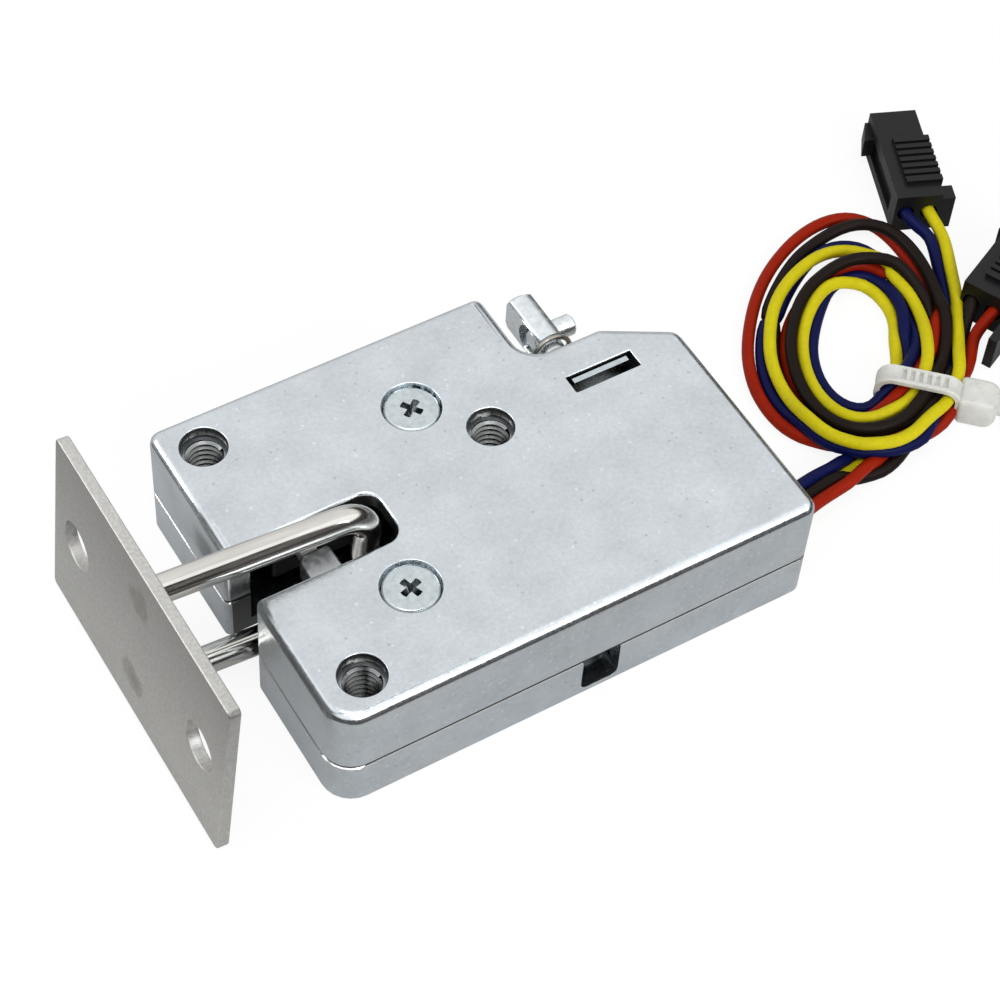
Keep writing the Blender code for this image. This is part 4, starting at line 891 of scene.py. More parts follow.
@dataclass
class Housing:
    """The two cast shells, with their rounded rims and threaded holes."""

    length: float = 0.0504
    width: float = 0.0370
    height: float = 0.0130
    slot_width: float = 0.0058
    slot_depth: float = 0.0152
    slot_near: float = 0.0154
    slot_end_radius: float = 0.0016
    mouth_radii: tuple[float, float] = (0.0008, 0.0006)
    holes: tuple[tuple[float, float], ...] = ((0.0040, 0.0329), (0.0284, 0.02235), (0.0046, 0.0040))
    hole_radius: float = 0.00225
    bore_radius: float = 0.00185
    bore_top: float = 0.0117
    screws: tuple[tuple[float, float], ...] = ((0.01295, 0.01015), (0.0231, 0.0279))
    screw_bore_radius: float = 0.00285
    rim: float = 0.00014
    window_rim: float = 0.00018
    rim_cut: float = 0.001
    slot_rim: float = 0.00045
    slot_cut: float = 0.004
    edge: float = 0.00013
    thread_pitch: float = 0.0007
    thread_depth: float = 0.00028
    thread_turns: int = 9
    thread_facets: int = 32
    seams: tuple[float, float] = (0.00516, 0.00504)
    seam_edges: tuple[float, float] = (0.00012, 0.00015)
    wall_band: float = 0.0016
    slack: float = 0.00005
    window_centre: float = 0.0412
    window: tuple[float, float, float] = (0.0071, 0.0020, 0.02405)
    window_corner: float = 0.0001

    def at(self, inset: tuple[float, float]) -> tuple[float, float]:
        """Place a point by its insets from the left and near edges."""
        return inset[0] - self.length / 2, inset[1] - self.width / 2

    def slot_outline(self, grow: float) -> Outline:
        """Draw the slot with its flared mouth.

        Args:
            grow: How far the outline stands outside the slot.

        Returns:
            The outline.
        """
        left = -self.length / 2
        near = self.slot_near - self.width / 2 - grow
        far = near + self.slot_width + 2 * grow
        end = left + self.slot_depth + grow
        first, second = self.mouth_radii
        out = left - 0.002
        radius = self.slot_end_radius + grow
        near_mouth = arc(Vector((left + first - grow, near - first)), first, math.pi, math.pi / 2, ARC_STEPS)
        far_mouth = arc(Vector((left + second - grow, far + second)), second, -math.pi / 2, -math.pi,
                        ARC_STEPS)
        inner = rounded([(end, near, radius), (end, far, radius), (left, far, 0.0), (left, near, 0.0)])
        closed_end = inner[:2 * (ARC_STEPS + 1)]
        return [(out, near - first)] + near_mouth + closed_end + far_mouth + [(out, far + second)]

    def window_outline(self, grow: float) -> Outline:
        """Draw the window.

        Args:
            grow: How far the outline stands outside the window.

        Returns:
            The outline.
        """
        long, wide, far = self.window
        x = self.window_centre - self.length / 2
        high = far - self.width / 2 + grow
        low = high - wide - 2 * grow
        half = long / 2 + grow
        radius = self.window_corner + grow
        return rounded([(x - half, low, radius), (x + half, low, radius), (x + half, high, radius),
                        (x - half, high, radius)], 3)

    def rims(self) -> list[bmesh.types.BMesh]:
        """The cutters that round each opening's rim.

        Returns:
            The closed cutters.
        """
        cutters = [flare(self.slot_outline, self.height, self.slot_rim, self.slot_cut),
                   flare(self.window_outline, self.height, self.window_rim, self.rim_cut)]
        rounds = [(self.at(hole), self.hole_radius) for hole in self.holes]
        rounds += [(self.at(screw), self.screw_bore_radius) for screw in self.screws]
        for centre, radius in rounds:
            cutters.append(flare(lambda grow, c=centre, r=radius: ring_points(r + grow, c, ROUND_STEPS),
                                 self.height, self.rim, self.rim_cut))
        return cutters

    def thread(self, index: int, hole: tuple[float, float]) -> bpy.types.Object:
        """Build the ridge of a fixing hole's thread, down to its last full turn.

        Args:
            index: The hole's number, from zero.
            hole: The hole's insets.

        Returns:
            The thread.
        """
        x, y = self.at(hole)
        half = self.thread_pitch * 0.40
        outer = self.bore_radius + 0.00004
        inner = self.bore_radius - self.thread_depth
        shape = bmesh.new()
        profile = [(outer, -half), (inner, -half * 0.25), (inner, half * 0.25), (outer, half)]
        verts = [shape.verts.new((x + radius, y, self.bore_top - 0.0003 + height))
                 for radius, height in profile]
        ends = [shape.edges.new(pair) for pair in zip(verts, verts[1:] + verts[:1])]
        turns = self.thread_turns
        steps = self.thread_facets * turns
        bmesh.ops.spin(shape, geom=verts + ends, cent=(x, y, 0), axis=(0, 0, 1), angle=math.tau * turns,
                       steps=steps, dvec=(0, 0, -self.thread_pitch * turns / steps))
        bmesh.ops.holes_fill(shape, edges=shape.edges, sides=4)
        bmesh.ops.recalc_face_normals(shape, faces=shape.faces)
        item = scratch_object(f"fixing_thread_{index + 1}", shape)
        return settle(item, SHADED_THREAD_ZINC, Body.HOUSING, "zinc_casting")

    def on_wall(self, face: bmesh.types.BMFace) -> bool:
        """Tell whether an upright face belongs to the housing's outside.

        Args:
            face: The face.

        Returns:
            Whether it does.
        """
        middle = face.calc_center_median()
        close = max(abs(middle.x) - self.length / 2, abs(middle.y) - self.width / 2) > -self.wall_band
        outward = face.normal.x * middle.x + face.normal.y * middle.y > 0.0
        return abs(face.normal.z) < 0.2 and close and outward

    def open_seam(self, shape: bmesh.types.BMesh, height: float, width: float) -> None:
        """Chamfer the outer edge at the parting line.

        Args:
            shape: The shell's shape.
            height: The parting face's height.
            width: The chamfer's width.
        """
        rim = [edge for edge in shape.edges
               if all(abs(vert.co.z - height) < 0.00002 for vert in edge.verts) and len(edge.link_faces) == 2
               and any(self.on_wall(face) for face in edge.link_faces)
               and any(abs(face.normal.z) > 0.9 for face in edge.link_faces)]
        bmesh.ops.bevel(shape, geom=rim, offset=width, segments=1, profile=0.5, affect="EDGES")
        LOG.info("%d seam edges opened", len(rim))

    def shade_opening_walls(self, item: bpy.types.Object) -> None:
        """Give the walls of the fixing holes, the slot and the window a darker, duller zinc: painted shade.

        Args:
            item: The shell.
        """
        item.data.materials.append(SHADED_WALL_ZINC.material())
        slack = self.slack
        near = self.slot_near - self.width / 2
        long, wide, far = self.window
        for face in item.data.polygons:
            x, y, z = face.center
            hole = any(math.dist((x, y), self.at(inset)) < self.hole_radius + 0.6 * slack
                       for inset in self.holes)
            slot = (0.002 - self.length / 2 < x < self.slot_depth - self.length / 2 + slack
                    and near - slack < y < near + self.slot_width + slack)
            window = (abs(x - self.window_centre + self.length / 2) < long / 2 + slack
                      and -wide - slack < y - far + self.width / 2 < slack)
            if abs(face.normal.z) < 0.3 and z < self.height - self.rim and (hole or slot or window):
                face.material_index = 1

    def shell(self, node: str, name: str, cutters: list[bmesh.types.BMesh], side: int) -> None:
        """Build a shell on its solid's shape, with softened rims and an opened parting line.

        Args:
            node: The shell's CAD node.
            name: The piece's name.
            cutters: What rounds its openings' rims.
            side: 0 above the parting line, 1 below it.
        """
        shape = copied(node)
        self.open_seam(shape, self.seams[side], self.seam_edges[side])
        item = scratch_object(name, shape)
        cut(item, cutters)
        settle(item, ZINC, Body.HOUSING, "zinc_casting", [node])
        self.shade_opening_walls(item)
        softened(item, self.edge, 50.0, 2)
        weighted(item)

    def build(self) -> None:
        """Build both shells and the threads."""
        self.shell("upper_shell", "cover", self.rims(), 0)
        self.shell("lower_shell", "tray", [], 1)
        for index, hole in enumerate(self.holes):
            self.thread(index, hole)


@dataclass
class Screw:
    """A flat-headed screw with a cross recess."""

    name: str
    node: str
    centre: tuple[float, float]
    turn: float
    top: float = 0.01275
    head_radius: float = 0.00268
    head_height: float = 0.0014
    edge: float = 0.00034
    crown: float = 0.00003
    shank_radius: float = 0.00125
    tip: float = 0.0008
    arm: float = 0.00114
    arm_width: float = 0.00074
    recess_depth: float = 0.0011

    def head(self) -> bmesh.types.BMesh:
        """Turn the screw.

        Returns:
            The screw's shape about the Z axis.
        """
        seat = self.top - self.head_height
        turns = [math.radians(18 * step) for step in range(6)]
        rim = [(self.head_radius - self.edge * (1 - math.cos(turn)),
                self.top - self.edge * (1 - math.sin(turn))) for turn in turns]
        shank = [(0.0, self.tip), (self.shank_radius * 0.6, self.tip),
                 (self.shank_radius, self.tip + 0.0005), (self.shank_radius, seat), (self.head_radius, seat)]
        return spun(shank + rim + [(0.0, self.top + self.crown)], 64)

    def recess(self) -> bmesh.types.BMesh:
        """Draw the tapered cross with its flared arms.

        Returns:
            The closed cutter.
        """
        def star(reach: float, end: float, root: float) -> Outline:
            """Draw the cross.

            Args:
                reach: How far its arms reach.
                end: Half the width of their ends.
                root: How far out its inner corners are.

            Returns:
                The outline.
            """
            points: Outline = []
            for arm in range(4):
                angle = self.turn + math.pi / 2 * arm
                along = Vector((math.cos(angle), math.sin(angle)))
                across = Vector((-along.y, along.x))
                tip = along * reach * 0.94
                for point in (tip - across * end, along * reach, tip + across * end, (along + across) * root):
                    points.append((self.centre[0] + point.x, self.centre[1] + point.y))
            return points
        half = self.arm_width / 2
        return lofted([(star(self.arm * 0.22, half * 0.25, half * 0.25), self.top - self.recess_depth),
                       (star(self.arm * 0.66, half * 0.62, half * 0.58), self.top - self.recess_depth * 0.6),
                       (star(self.arm * 0.96, half * 0.92, half * 0.80), self.top - 0.00012),
                       (star(self.arm * 1.06, half * 1.10, half * 0.98), self.top + 0.0003)])

    def build(self) -> None:
        """Build the screw in place of its solid."""
        place = Matrix.Translation((*self.centre, 0.0))
        item = scratch_object(self.name, moved(self.head(), place))
        cut(item, [self.recess()])
        settle(item, SCREW_STEEL, Body.HOUSING, "zinc_plated_steel", [self.node], 28.0)


@dataclass
class Strike:
    """The polished bar, its plate and the welds between them."""

    place: Point = (-0.0127, -0.0006, 0.00835)
    tilt: float = math.radians(5.4)
    bar: float = 0.0027
    spacing: float = 0.0134
    sunk: float = 0.0005
    leg_step: float = 0.0015
    bend: float = 0.0032
    length: float = 0.0218
    plate: tuple[float, float, float] = (0.0333, 0.0205, 0.0012)
    corner: float = 0.0006
    edge: float = 0.00016
    hole: float = 0.0024
    hole_spacing: float = 0.0242
    hole_rim: float = 0.00012
    spots: tuple[tuple[float, float], ...] = ((0.0004, 0.0063), (-0.0002, -0.0055))
    spot_radius: float = 0.0021
    bead: float = 0.00042
    bead_gap: float = 0.00022

    def matrix(self) -> Matrix:
        """Where the strike stands."""
        return Matrix.Translation(self.place) @ Matrix.Rotation(self.tilt, 4, "Y")

    def to_plate(self) -> Matrix:
        """From the plate's flat drawing, inner face at zero, to the world."""
        turn = Matrix(((0, 0, -1, 0), (-1, 0, 0, 0), (0, 1, 0, 0), (0, 0, 0, 1)))
        return self.matrix() @ Matrix.Translation((-self.length, 0, 0)) @ turn

    def loop(self) -> None:
        """The bent bar, smooth round its bends."""
        half = self.spacing / 2
        bend = self.bend
        matrix = self.matrix()
        leg = [-self.length - self.sunk + self.leg_step * step for step in range(13)]
        path = [Vector((x, 0, half)) for x in leg]
        for height, start, end in ((half - bend, math.pi / 2, 0.0), (bend - half, 0.0, -math.pi / 2)):
            path += [Vector((x, 0, z)) for x, z in arc(Vector((-bend, height)), bend, start, end, 12)]
        path += [Vector((x, 0, -half)) for x in reversed(leg)]
        section = ring_points(self.bar / 2, (0.0, 0.0), 40)
        shape = swept([matrix @ point for point in path], lambda index: section,
                      matrix.to_3x3() @ Vector((0, 1, 0)), False)
        settle(scratch_object("strike_bar", shape), POLISHED, Body.STRIKE, "polished_steel",
               ["strike_shackle"], 60.0)

    def sheet(self) -> None:
        """The plate with softened edges and hole rims."""
        wide, tall, thick = self.plate
        edge = self.edge
        def outline(shrink: float) -> Outline:
            """The plate's outline, drawn in by a distance."""
            x, y, radius = wide / 2 - shrink, tall / 2 - shrink, self.corner - shrink
            return rounded([(-x, -y, radius), (x, -y, radius), (x, y, radius), (-x, y, radius)], 5)
        rings = []
        for step in range(4):
            angle = math.radians(30.0 * step)
            rings.append((outline(edge * (1 - math.sin(angle))), edge * (1 - math.cos(angle))))
        rings += [(points, thick - height) for points, height in reversed(rings)]
        item = scratch_object("strike_sheet", lofted(rings))
        for side in (-1, 1):
            centre = (side * self.hole_spacing / 2, 0.0)
            for face, flip in ((thick, 1.0), (0.0, -1.0)):
                cutter = flare(lambda grow: ring_points(self.hole + grow, centre, ROUND_STEPS), 0.0,
                               self.hole_rim, thick * 0.6)
                bmesh.ops.scale(cutter, vec=(1.0, 1.0, flip), verts=cutter.verts)
                bmesh.ops.translate(cutter, vec=(0.0, 0.0, face), verts=cutter.verts)
                bmesh.ops.recalc_face_normals(cutter, faces=cutter.faces)
                cut(item, [cutter])
        item.data.transform(self.to_plate())
        outer = self.to_plate()
        spots = tuple((tuple(outer @ Vector((x, y, thick))), self.spot_radius) for x, y in self.spots)
        finish = RolledSheet("plain sheet", (0.56, 0.555, 0.535), 0.46, 0.92, spots)
        settle(item, finish, Body.STRIKE, "rolled_steel", ["strike_plate"], 30.0)
        weighted(item)

    def weld(self, name: str, side: int) -> None:
        """Build a lumpy weld bead round a leg, at the plate's inner face.

        Args:
            name: The piece's name.
            side: 1 for the upper leg, -1 for the lower one.
        """
        matrix = self.matrix()
        count = 72
        path, sections = [], []
        for step in range(count):
            angle = math.tau * step / count
            lumps = 0.00008 * math.sin(7 * angle) + 0.00005 * math.sin(17 * angle + side)
            radius = self.bar / 2 + self.bead_gap + lumps
            path.append(matrix @ Vector((-self.length + 0.00012, radius * math.cos(angle),
                                         side * self.spacing / 2 + radius * math.sin(angle))))
            size = 1.0 + 0.18 * math.sin(11 * angle + side) + 0.10 * math.sin(23 * angle)
            sections.append(ring_points(self.bead * size, (0.0, 0.0), 12))
        shape = swept(path, lambda index: sections[index], matrix.to_3x3() @ Vector((1, 0, 0)), True)
        settle(scratch_object(name, shape), RolledSheet("weld metal", (0.23, 0.20, 0.165), 0.38, 1.0),
               Body.STRIKE, "rolled_steel", sharp=60.0)

    def build(self) -> None:
        """Build the bar, the plate and both welds."""
        self.loop()
        self.sheet()
        self.weld("weld_upper", 1)
        self.weld("weld_lower", -1)


@dataclass
class Mechanism:
    """The latch and solenoid pieces, on their solids' shapes with softened edges."""

    tab_lift: float = 0.00045
    tab_inset: tuple[float, float] = (0.00022, 0.00038)
    pieces: tuple[tuple[str, str, Finish, Body, str, float], ...] = (
        ("hook", "hook_plate", HOOK_STEEL, Body.HOOK, "zinc_plated_steel", 0.00018),
        ("pawl", "pawl_plate", PLATED, Body.PAWL, "zinc_plated_steel", 0.00015),
        ("hook_sleeve", "hook_sleeve_turned", PLATED, Body.HOUSING, "zinc_plated_steel", 0.0),
        ("pawl_pin", "pawl_pin_turned", PLATED, Body.HOUSING, "zinc_plated_steel", 0.0),
        ("solenoid_frame", "solenoid_yoke", PLATED, Body.HOUSING, "zinc_plated_steel", 0.0),
        ("bobbin", "bobbin_moulding", NYLON, Body.HOUSING, "white_nylon", 0.0),
        ("winding", "winding_wire", COPPER, Body.HOUSING, "copper_winding", 0.0),
        ("plunger", "plunger_rod", HEAD_STEEL, Body.PLUNGER, "zinc_plated_steel", 0.0),
        ("cross_pin", "cross_pin_rod", HEAD_STEEL, Body.PLUNGER, "zinc_plated_steel", 0.0),
        ("switch_body", "switch_case", BLACK_MOULDING, Body.HOUSING, "black_plastic", 0.00012),
        ("switch_button", "switch_plunger", NYLON, Body.BUTTON, "white_nylon", 0.0001),
    )

    def raise_tab(self, shape: bmesh.types.BMesh) -> None:
        """Bring the solenoid frame's tab nearer the cover's top and draw its sides in.

        Args:
            shape: The frame's shape, which is changed.
        """
        top = max(vert.co.z for vert in shape.verts)
        tab = [vert for vert in shape.verts if vert.co.z > top - 0.0001]
        middle = sum((vert.co for vert in tab), Vector()) / len(tab)
        for vert in tab:
            vert.co.z += self.tab_lift
            vert.co.x += math.copysign(self.tab_inset[0], middle.x - vert.co.x)
            vert.co.y += self.tab_inset[1] if vert.co.y < middle.y else -self.tab_inset[0] / 2

    def build(self) -> None:
        """Dress each piece."""
        for node, name, finish, body, slot, edge in self.pieces:
            shape = copied(node)
            if node == "solenoid_frame":
                self.raise_tab(shape)
            item = scratch_object(name, shape)
            settle(item, finish, body, slot, [node])
            if edge:
                softened(item, edge)
            weighted(item)


@dataclass
class Springs:
    """Round-wire springs in place of their coarser solids."""

    axis_x: float = 0.0160
    axis_z: float = 0.0065
    start: float = 0.00605
    end: float = 0.01345
    diameter: float = 0.0046
    wire: float = 0.0005
    turns: int = 6
    stroke: float = 0.0027

    def plunger_spring(self) -> None:
        """The spring between the notch's wall and the plunger's head."""
        radius = (self.diameter - self.wire) / 2
        steps = 36 * self.turns
        points = []
        for step in range(steps + 1):
            share = step / steps
            eased = min(1.0, max(0.0, (share * self.turns - 0.8) / (self.turns - 1.6)))
            angle = math.tau * self.turns * share
            drift = self.wire * 0.55 * (share - eased)
            points.append((self.axis_x + radius * math.cos(angle),
                           self.start + (self.end - self.start) * eased + drift,
                           self.axis_z + radius * math.sin(angle)))
        curve = tube("return_spring_curve", points, self.wire, 3)
        item = linked("return_spring", evaluated(curve))
        bpy.data.objects.remove(curve, do_unlink=True)
        settle(item, SPRING, Body.HOUSING, "spring_steel", ["plunger_spring"], 60.0)
        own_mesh(item)

    def build(self) -> None:
        """Build the plunger's spring and dress the two hidden ones."""
        self.plunger_spring()
        for node in ("hook_spring", "pawl_spring"):
            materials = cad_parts[node].data.materials
            materials.clear()
            materials.append(SPRING.material())


# The wires' ways round the coil in millimetres, from behind the housing to their tails.
BLUE_WAY = (
    (32.5, -9.7, 2.50), (35.0, -9.1, 1.90), (37.6, -8.7, 1.60), (42.6, -7.0, 0.80), (47.2, -4.3, 0.65),
    (50.2, -0.9, 0.90), (51.8, 1.8, 1.10), (53.4, 4.6, 1.20), (54.1, 7.5, 1.20), (53.6, 10.5, 1.00),
    (51.8, 11.6, 1.00), (49.4, 11.3, 1.00), (46.7, 9.7, 0.90), (43.6, 6.6, 0.70), (41.8, 4.1, 0.65),
    (40.6, 0.9, 0.65), (40.7, -2.1, 0.65), (42.4, -4.3, 0.65), (45.1, -4.5, 0.80), (47.9, -3.5, 1.00),
    (50.3, -1.6, 1.20), (52.2, 0.7, 1.20), (54.2, 4.1, 1.30), (55.4, 7.7, 1.10), (55.6, 11.6, 0.90),
    (54.8, 14.3, 0.70), (52.7, 15.5, 0.65), (48.7, 15.1, 0.65), (43.7, 12.4, 0.65), (39.4, 8.9, 0.65),
    (36.8, 5.7, 0.70), (35.5, 2.4, 0.80), (35.1, -1.7, 1.20), (36.0, -5.9, 1.50), (38.4, -8.9, 1.60),
    (41.8, -10.2, 1.60), (45.9, -9.6, 1.20), (50.6, -6.8, 0.65), (54.8, -2.4, 0.65), (58.4, 3.1, 0.80),
    (60.6, 8.1, 1.40), (61.9, 11.4, 2.10),
)
BLACK_WAY = (
    (31.8, -10.6, 2.40), (34.2, -10.2, 1.90), (36.5, -10.5, 1.10), (38.7, -10.9, 0.65),
    (42.1, -10.2, 0.65), (46.8, -8.0, 0.65), (51.0, -4.9, 0.65), (54.2, -0.6, 0.65), (56.0, 3.3, 1.20),
    (55.9, 6.6, 2.20), (55.3, 9.8, 2.50), (53.2, 11.8, 2.60), (50.4, 12.2, 2.50), (47.1, 11.5, 2.20),
    (43.7, 9.6, 2.00), (40.5, 6.4, 1.90), (38.5, 2.6, 1.90), (37.6, -1.6, 2.30), (37.9, -5.2, 2.80),
    (39.8, -7.6, 3.00), (43.5, -8.3, 2.90), (47.6, -7.0, 2.40), (51.3, -4.6, 1.90), (54.4, -1.2, 1.90),
    (56.7, 2.8, 2.00), (58.4, 7.5, 1.90), (58.8, 11.7, 1.70), (58.0, 15.0, 1.50), (56.1, 16.9, 1.40),
    (53.1, 17.2, 1.20), (49.4, 16.4, 0.90), (45.2, 14.1, 0.65), (41.7, 11.2, 0.65), (39.1, 7.5, 0.65),
    (37.0, 2.9, 0.80), (36.7, -2.0, 1.30), (38.0, -6.0, 1.80), (41.2, -8.4, 1.90), (45.6, -8.3, 1.40),
    (50.0, -6.8, 0.65), (54.4, -3.3, 0.65), (57.6, -0.0, 1.30),
)
RED_WAY = (
    (31.5, -11.8, 2.40), (33.7, -11.5, 1.90), (35.9, -11.2, 1.90), (38.7, -10.5, 1.80),
    (43.9, -8.8, 1.00), (49.0, -5.2, 0.65), (52.7, -0.5, 0.65), (55.2, 4.4, 0.80), (55.6, 8.2, 1.30),
    (54.3, 11.3, 1.50), (51.1, 12.1, 1.40), (47.4, 11.7, 1.10), (44.1, 10.2, 0.80), (40.7, 7.4, 0.70),
    (38.8, 3.9, 0.70), (37.9, 0.1, 0.90), (38.9, -3.5, 1.30), (41.3, -5.7, 1.60), (44.7, -5.4, 1.40),
    (48.1, -4.0, 1.10), (52.1, -1.7, 0.90), (55.0, 0.8, 1.10), (57.0, 4.5, 1.20), (58.3, 9.2, 1.20),
    (58.6, 13.1, 1.00), (57.9, 16.3, 0.90), (56.5, 18.3, 0.80), (53.5, 19.0, 0.70), (49.5, 18.3, 0.70),
    (44.8, 16.1, 0.70), (40.9, 13.1, 0.70), (37.4, 9.2, 0.70), (35.6, 6.4, 0.70), (34.2, 2.7, 0.70),
    (34.1, -0.9, 0.70), (35.3, -4.1, 0.80), (37.7, -7.0, 1.20), (40.7, -9.1, 1.40), (45.0, -9.4, 1.10),
    (49.3, -8.4, 0.65), (54.0, -5.0, 0.65), (57.4, -1.9, 1.30),
)
YELLOW_WAY = (
    (32.2, -10.7, 1.20), (34.9, -10.1, 0.65), (37.5, -9.6, 0.65), (41.0, -8.3, 0.65),
    (45.2, -5.1, 0.65), (48.6, -1.6, 0.65), (51.1, 1.8, 0.65), (52.7, 5.1, 0.65), (52.9, 7.8, 0.65),
    (52.2, 10.2, 0.65), (49.8, 10.9, 0.80), (47.2, 10.5, 1.20), (44.5, 8.8, 1.50), (41.7, 5.9, 1.70),
    (39.9, 2.7, 1.70), (38.9, -0.8, 2.10), (39.0, -4.1, 2.70), (40.6, -6.3, 3.00), (43.7, -6.8, 2.90),
    (47.5, -5.5, 2.40), (50.7, -3.0, 2.00), (52.8, -0.4, 2.00), (54.4, 3.1, 1.90), (55.3, 7.2, 1.60),
    (55.2, 11.0, 1.20), (54.0, 13.8, 1.00), (51.5, 14.9, 1.20), (48.3, 14.4, 1.50), (44.4, 12.8, 1.70),
    (41.3, 10.6, 1.80), (38.7, 7.4, 1.80), (37.0, 4.3, 1.80), (35.9, 0.1, 2.20), (35.7, -4.4, 2.80),
    (36.9, -7.5, 3.20), (38.9, -9.5, 3.30), (42.6, -10.3, 3.10), (47.3, -8.9, 2.60), (51.1, -6.7, 2.00),
    (54.6, -3.3, 1.60), (58.3, 1.8, 1.40), (61.2, 7.1, 1.60), (62.9, 10.7, 2.10),
)


@dataclass
class Wire:
    """One wire: its colour, its exit's height and depth, its way and its connector."""

    name: str
    colour: Colour
    exit_y: float
    exit_z: float
    way: tuple[Point, ...]
    tail: tuple[Point, ...]
    connector: str


@dataclass
class Tie:
    """The translucent cable tie: a ladder strap, its lock head and the cut tail."""

    centre: tuple[float, float] = (0.0476, -0.0052)
    along: tuple[float, float] = (0.722, -0.692)
    start: float = -0.0034
    end: float = 0.0042
    base: float = 0.0001
    height: float = 0.0043
    width: float = 0.0022
    thickness: float = 0.00058
    corner: float = 0.0015
    ladder: tuple[float, float] = (-0.0020, 0.0034)
    pitch: float = 0.00084
    dip: float = 0.00042
    step: float = 0.00012
    head: Point = (0.0040, 0.0037, 0.0034)
    head_shift: float = 0.0004
    tail: Point = (0.0015, 0.0017, 0.0010)
    rest: float = 0.0007
    reach: float = 0.0032

    def frame(self) -> Matrix:
        """From the tie's own axes, along the strap, across it and up, to the world.

        Returns:
            The matrix.
        """
        dx, dy = self.along
        x, y = self.centre
        return Matrix(((dx, -dy, 0, x), (dy, dx, 0, y), (0, 0, 1, 0), (0, 0, 0, 1)))

    def lift(self, points: np.ndarray) -> np.ndarray:
        """Find how far the strap under the bundle raises each point off the table.

        Args:
            points: The wires' points.

        Returns:
            A height for each point.
        """
        away = points[:, :2] - np.array(self.centre)
        across = np.abs(away @ np.array((-self.along[1], self.along[0])))
        along = away @ np.array(self.along)
        inside = (along > self.start - 0.001) & (along < self.end + 0.001)
        return np.where(inside, self.rest * np.clip(2.0 - across / (self.reach / 2), 0.0, 1.0), 0.0)

    def strap(self) -> bmesh.types.BMesh:
        """Build the strap's loop, with rungs between its two rails on top.

        Returns:
            The loop, on the tie's own axes.
        """
        half = self.thickness / 2
        low, high = self.start - half, self.end + half
        floor, ceiling = self.base + half, self.height - half
        ring = rounded([(low, floor, self.corner), (high, floor, self.corner),
                        (high, ceiling, self.corner), (low, ceiling, self.corner)], 10)
        points = np.array(ring + ring[:1])
        run = run_length(points)
        marks = np.linspace(0.0, run[-1], int(run[-1] / self.step), endpoint=False)
        path = [Vector((x, 0.0, z)) for x, z in zip(np.interp(marks, run, points[:, 0]),
                                                    np.interp(marks, run, points[:, 1]))]

        def section(index: int) -> Outline:
            """The strap's section at a point of its path.

            Args:
                index: The point's number.

            Returns:
                The section.
            """
            point = path[index]
            edge, rail = self.width / 2, self.width * 0.32
            on_top = point.z > ceiling - 0.0002 and self.ladder[0] < point.x < self.ladder[1]
            gap = on_top and (point.x - self.ladder[0]) % self.pitch > self.pitch * 0.62
            floor_of_gap = half - (self.dip if gap else 0.00004)
            return [(-edge, -half), (edge, -half), (edge, half * 0.6), (edge * 0.9, half), (rail, half),
                    (rail * 0.9, floor_of_gap), (-rail * 0.9, floor_of_gap), (-rail, half),
                    (-edge * 0.9, half), (-edge, half * 0.6)]
        return swept(path, section, Vector((0, -1, 0)), True)

    def block(self, low: float, size: Point, base: float, soft: float) -> bmesh.types.BMesh:
        """Build a box on the strap's line, with rounded corners and edges.

        Args:
            low: Where it starts along the strap.
            size: Its length, width and height.
            base: Its underside's height.
            soft: Its edges' radius.

        Returns:
            The box, on the tie's own axes.
        """
        long, wide, tall = size

        def outline(shrink: float) -> Outline:
            """The box's outline, drawn in by a distance.

            Args:
                shrink: The distance.

            Returns:
                The outline.
            """
            x0, x1, y, middle = low + shrink, low + long - shrink, wide / 2 - shrink, self.head_shift
            return rounded([(x0, middle - y, soft), (x1, middle - y, soft * 2.4),
                            (x1, middle + y, soft * 2.4), (x0, middle + y, soft)], 4)
        turns = [math.radians(30 * step) for step in range(4)]
        rings = [(outline(soft * (1 - math.sin(turn))), base + soft * (1 - math.cos(turn))) for turn in turns]
        rings += [(points, 2 * base + tall - height) for points, height in reversed(rings)]
        return lofted(rings)

    def build(self) -> bpy.types.Object:
        """Build the strap, the head and the tail as one piece.

        Returns:
            The tie.
        """
        start = self.end + self.thickness * 0.4
        shapes = (self.strap(), self.block(start, self.head, self.base, 0.0005),
                  self.block(start + self.head[0] - 0.0002, self.tail, 0.0013, 0.0002))
        item = joined("tie_strap", [moved(shape, self.frame()) for shape in shapes])
        return settle(item, NYLON, Body.HOUSING, "white_nylon", ["cable_tie"], 40.0)


@dataclass
class Connector:
    """A moulded two-way connector: its solid's shape with softened edges, and its contacts."""

    name: str
    node: str
    place: tuple[float, float]
    heading: float
    length: float = 0.0125
    mouth: float = 0.0070
    pin_radius: float = 0.00032
    pin_length: float = 0.0056
    pins: tuple[float, float] = (-0.0011, 0.0006)
    height: float = 0.0026

    def contacts(self) -> bpy.types.Object:
        """Build two round-tipped pins in the connector's mouth.

        Returns:
            Both pins as one piece.
        """
        tip, radius = self.pin_length, self.pin_radius
        profile = [(0.0, -0.0005), (radius, -0.0005), (radius, tip - radius),
                   (radius * 0.7, tip - radius * 0.3), (0.0, tip)]
        place = Matrix.Translation((*self.place, 0.0)) @ Matrix.Rotation(self.heading, 4, "Z")
        lying = Matrix.Rotation(math.pi / 2, 4, "Y")
        stands = [Matrix.Translation((self.length - self.mouth, side, self.height)) @ lying
                  for side in self.pins]
        shapes = [moved(spun(profile, 20), place @ stand) for stand in stands]
        item = joined(self.name + "_contacts", shapes)
        return settle(item, TINNED, Body.HOUSING, "black_plastic", sharp=50.0)

    def build(self) -> list[bpy.types.Object]:
        """Build the moulding and its contacts.

        Returns:
            Both pieces.
        """
        item = scratch_object(self.name, copied(self.node))
        settle(item, BLACK_MOULDING, Body.HOUSING, "black_plastic", [self.node])
        softened(item, 0.00014, 40.0)
        weighted(item)
        return [item, self.contacts()]


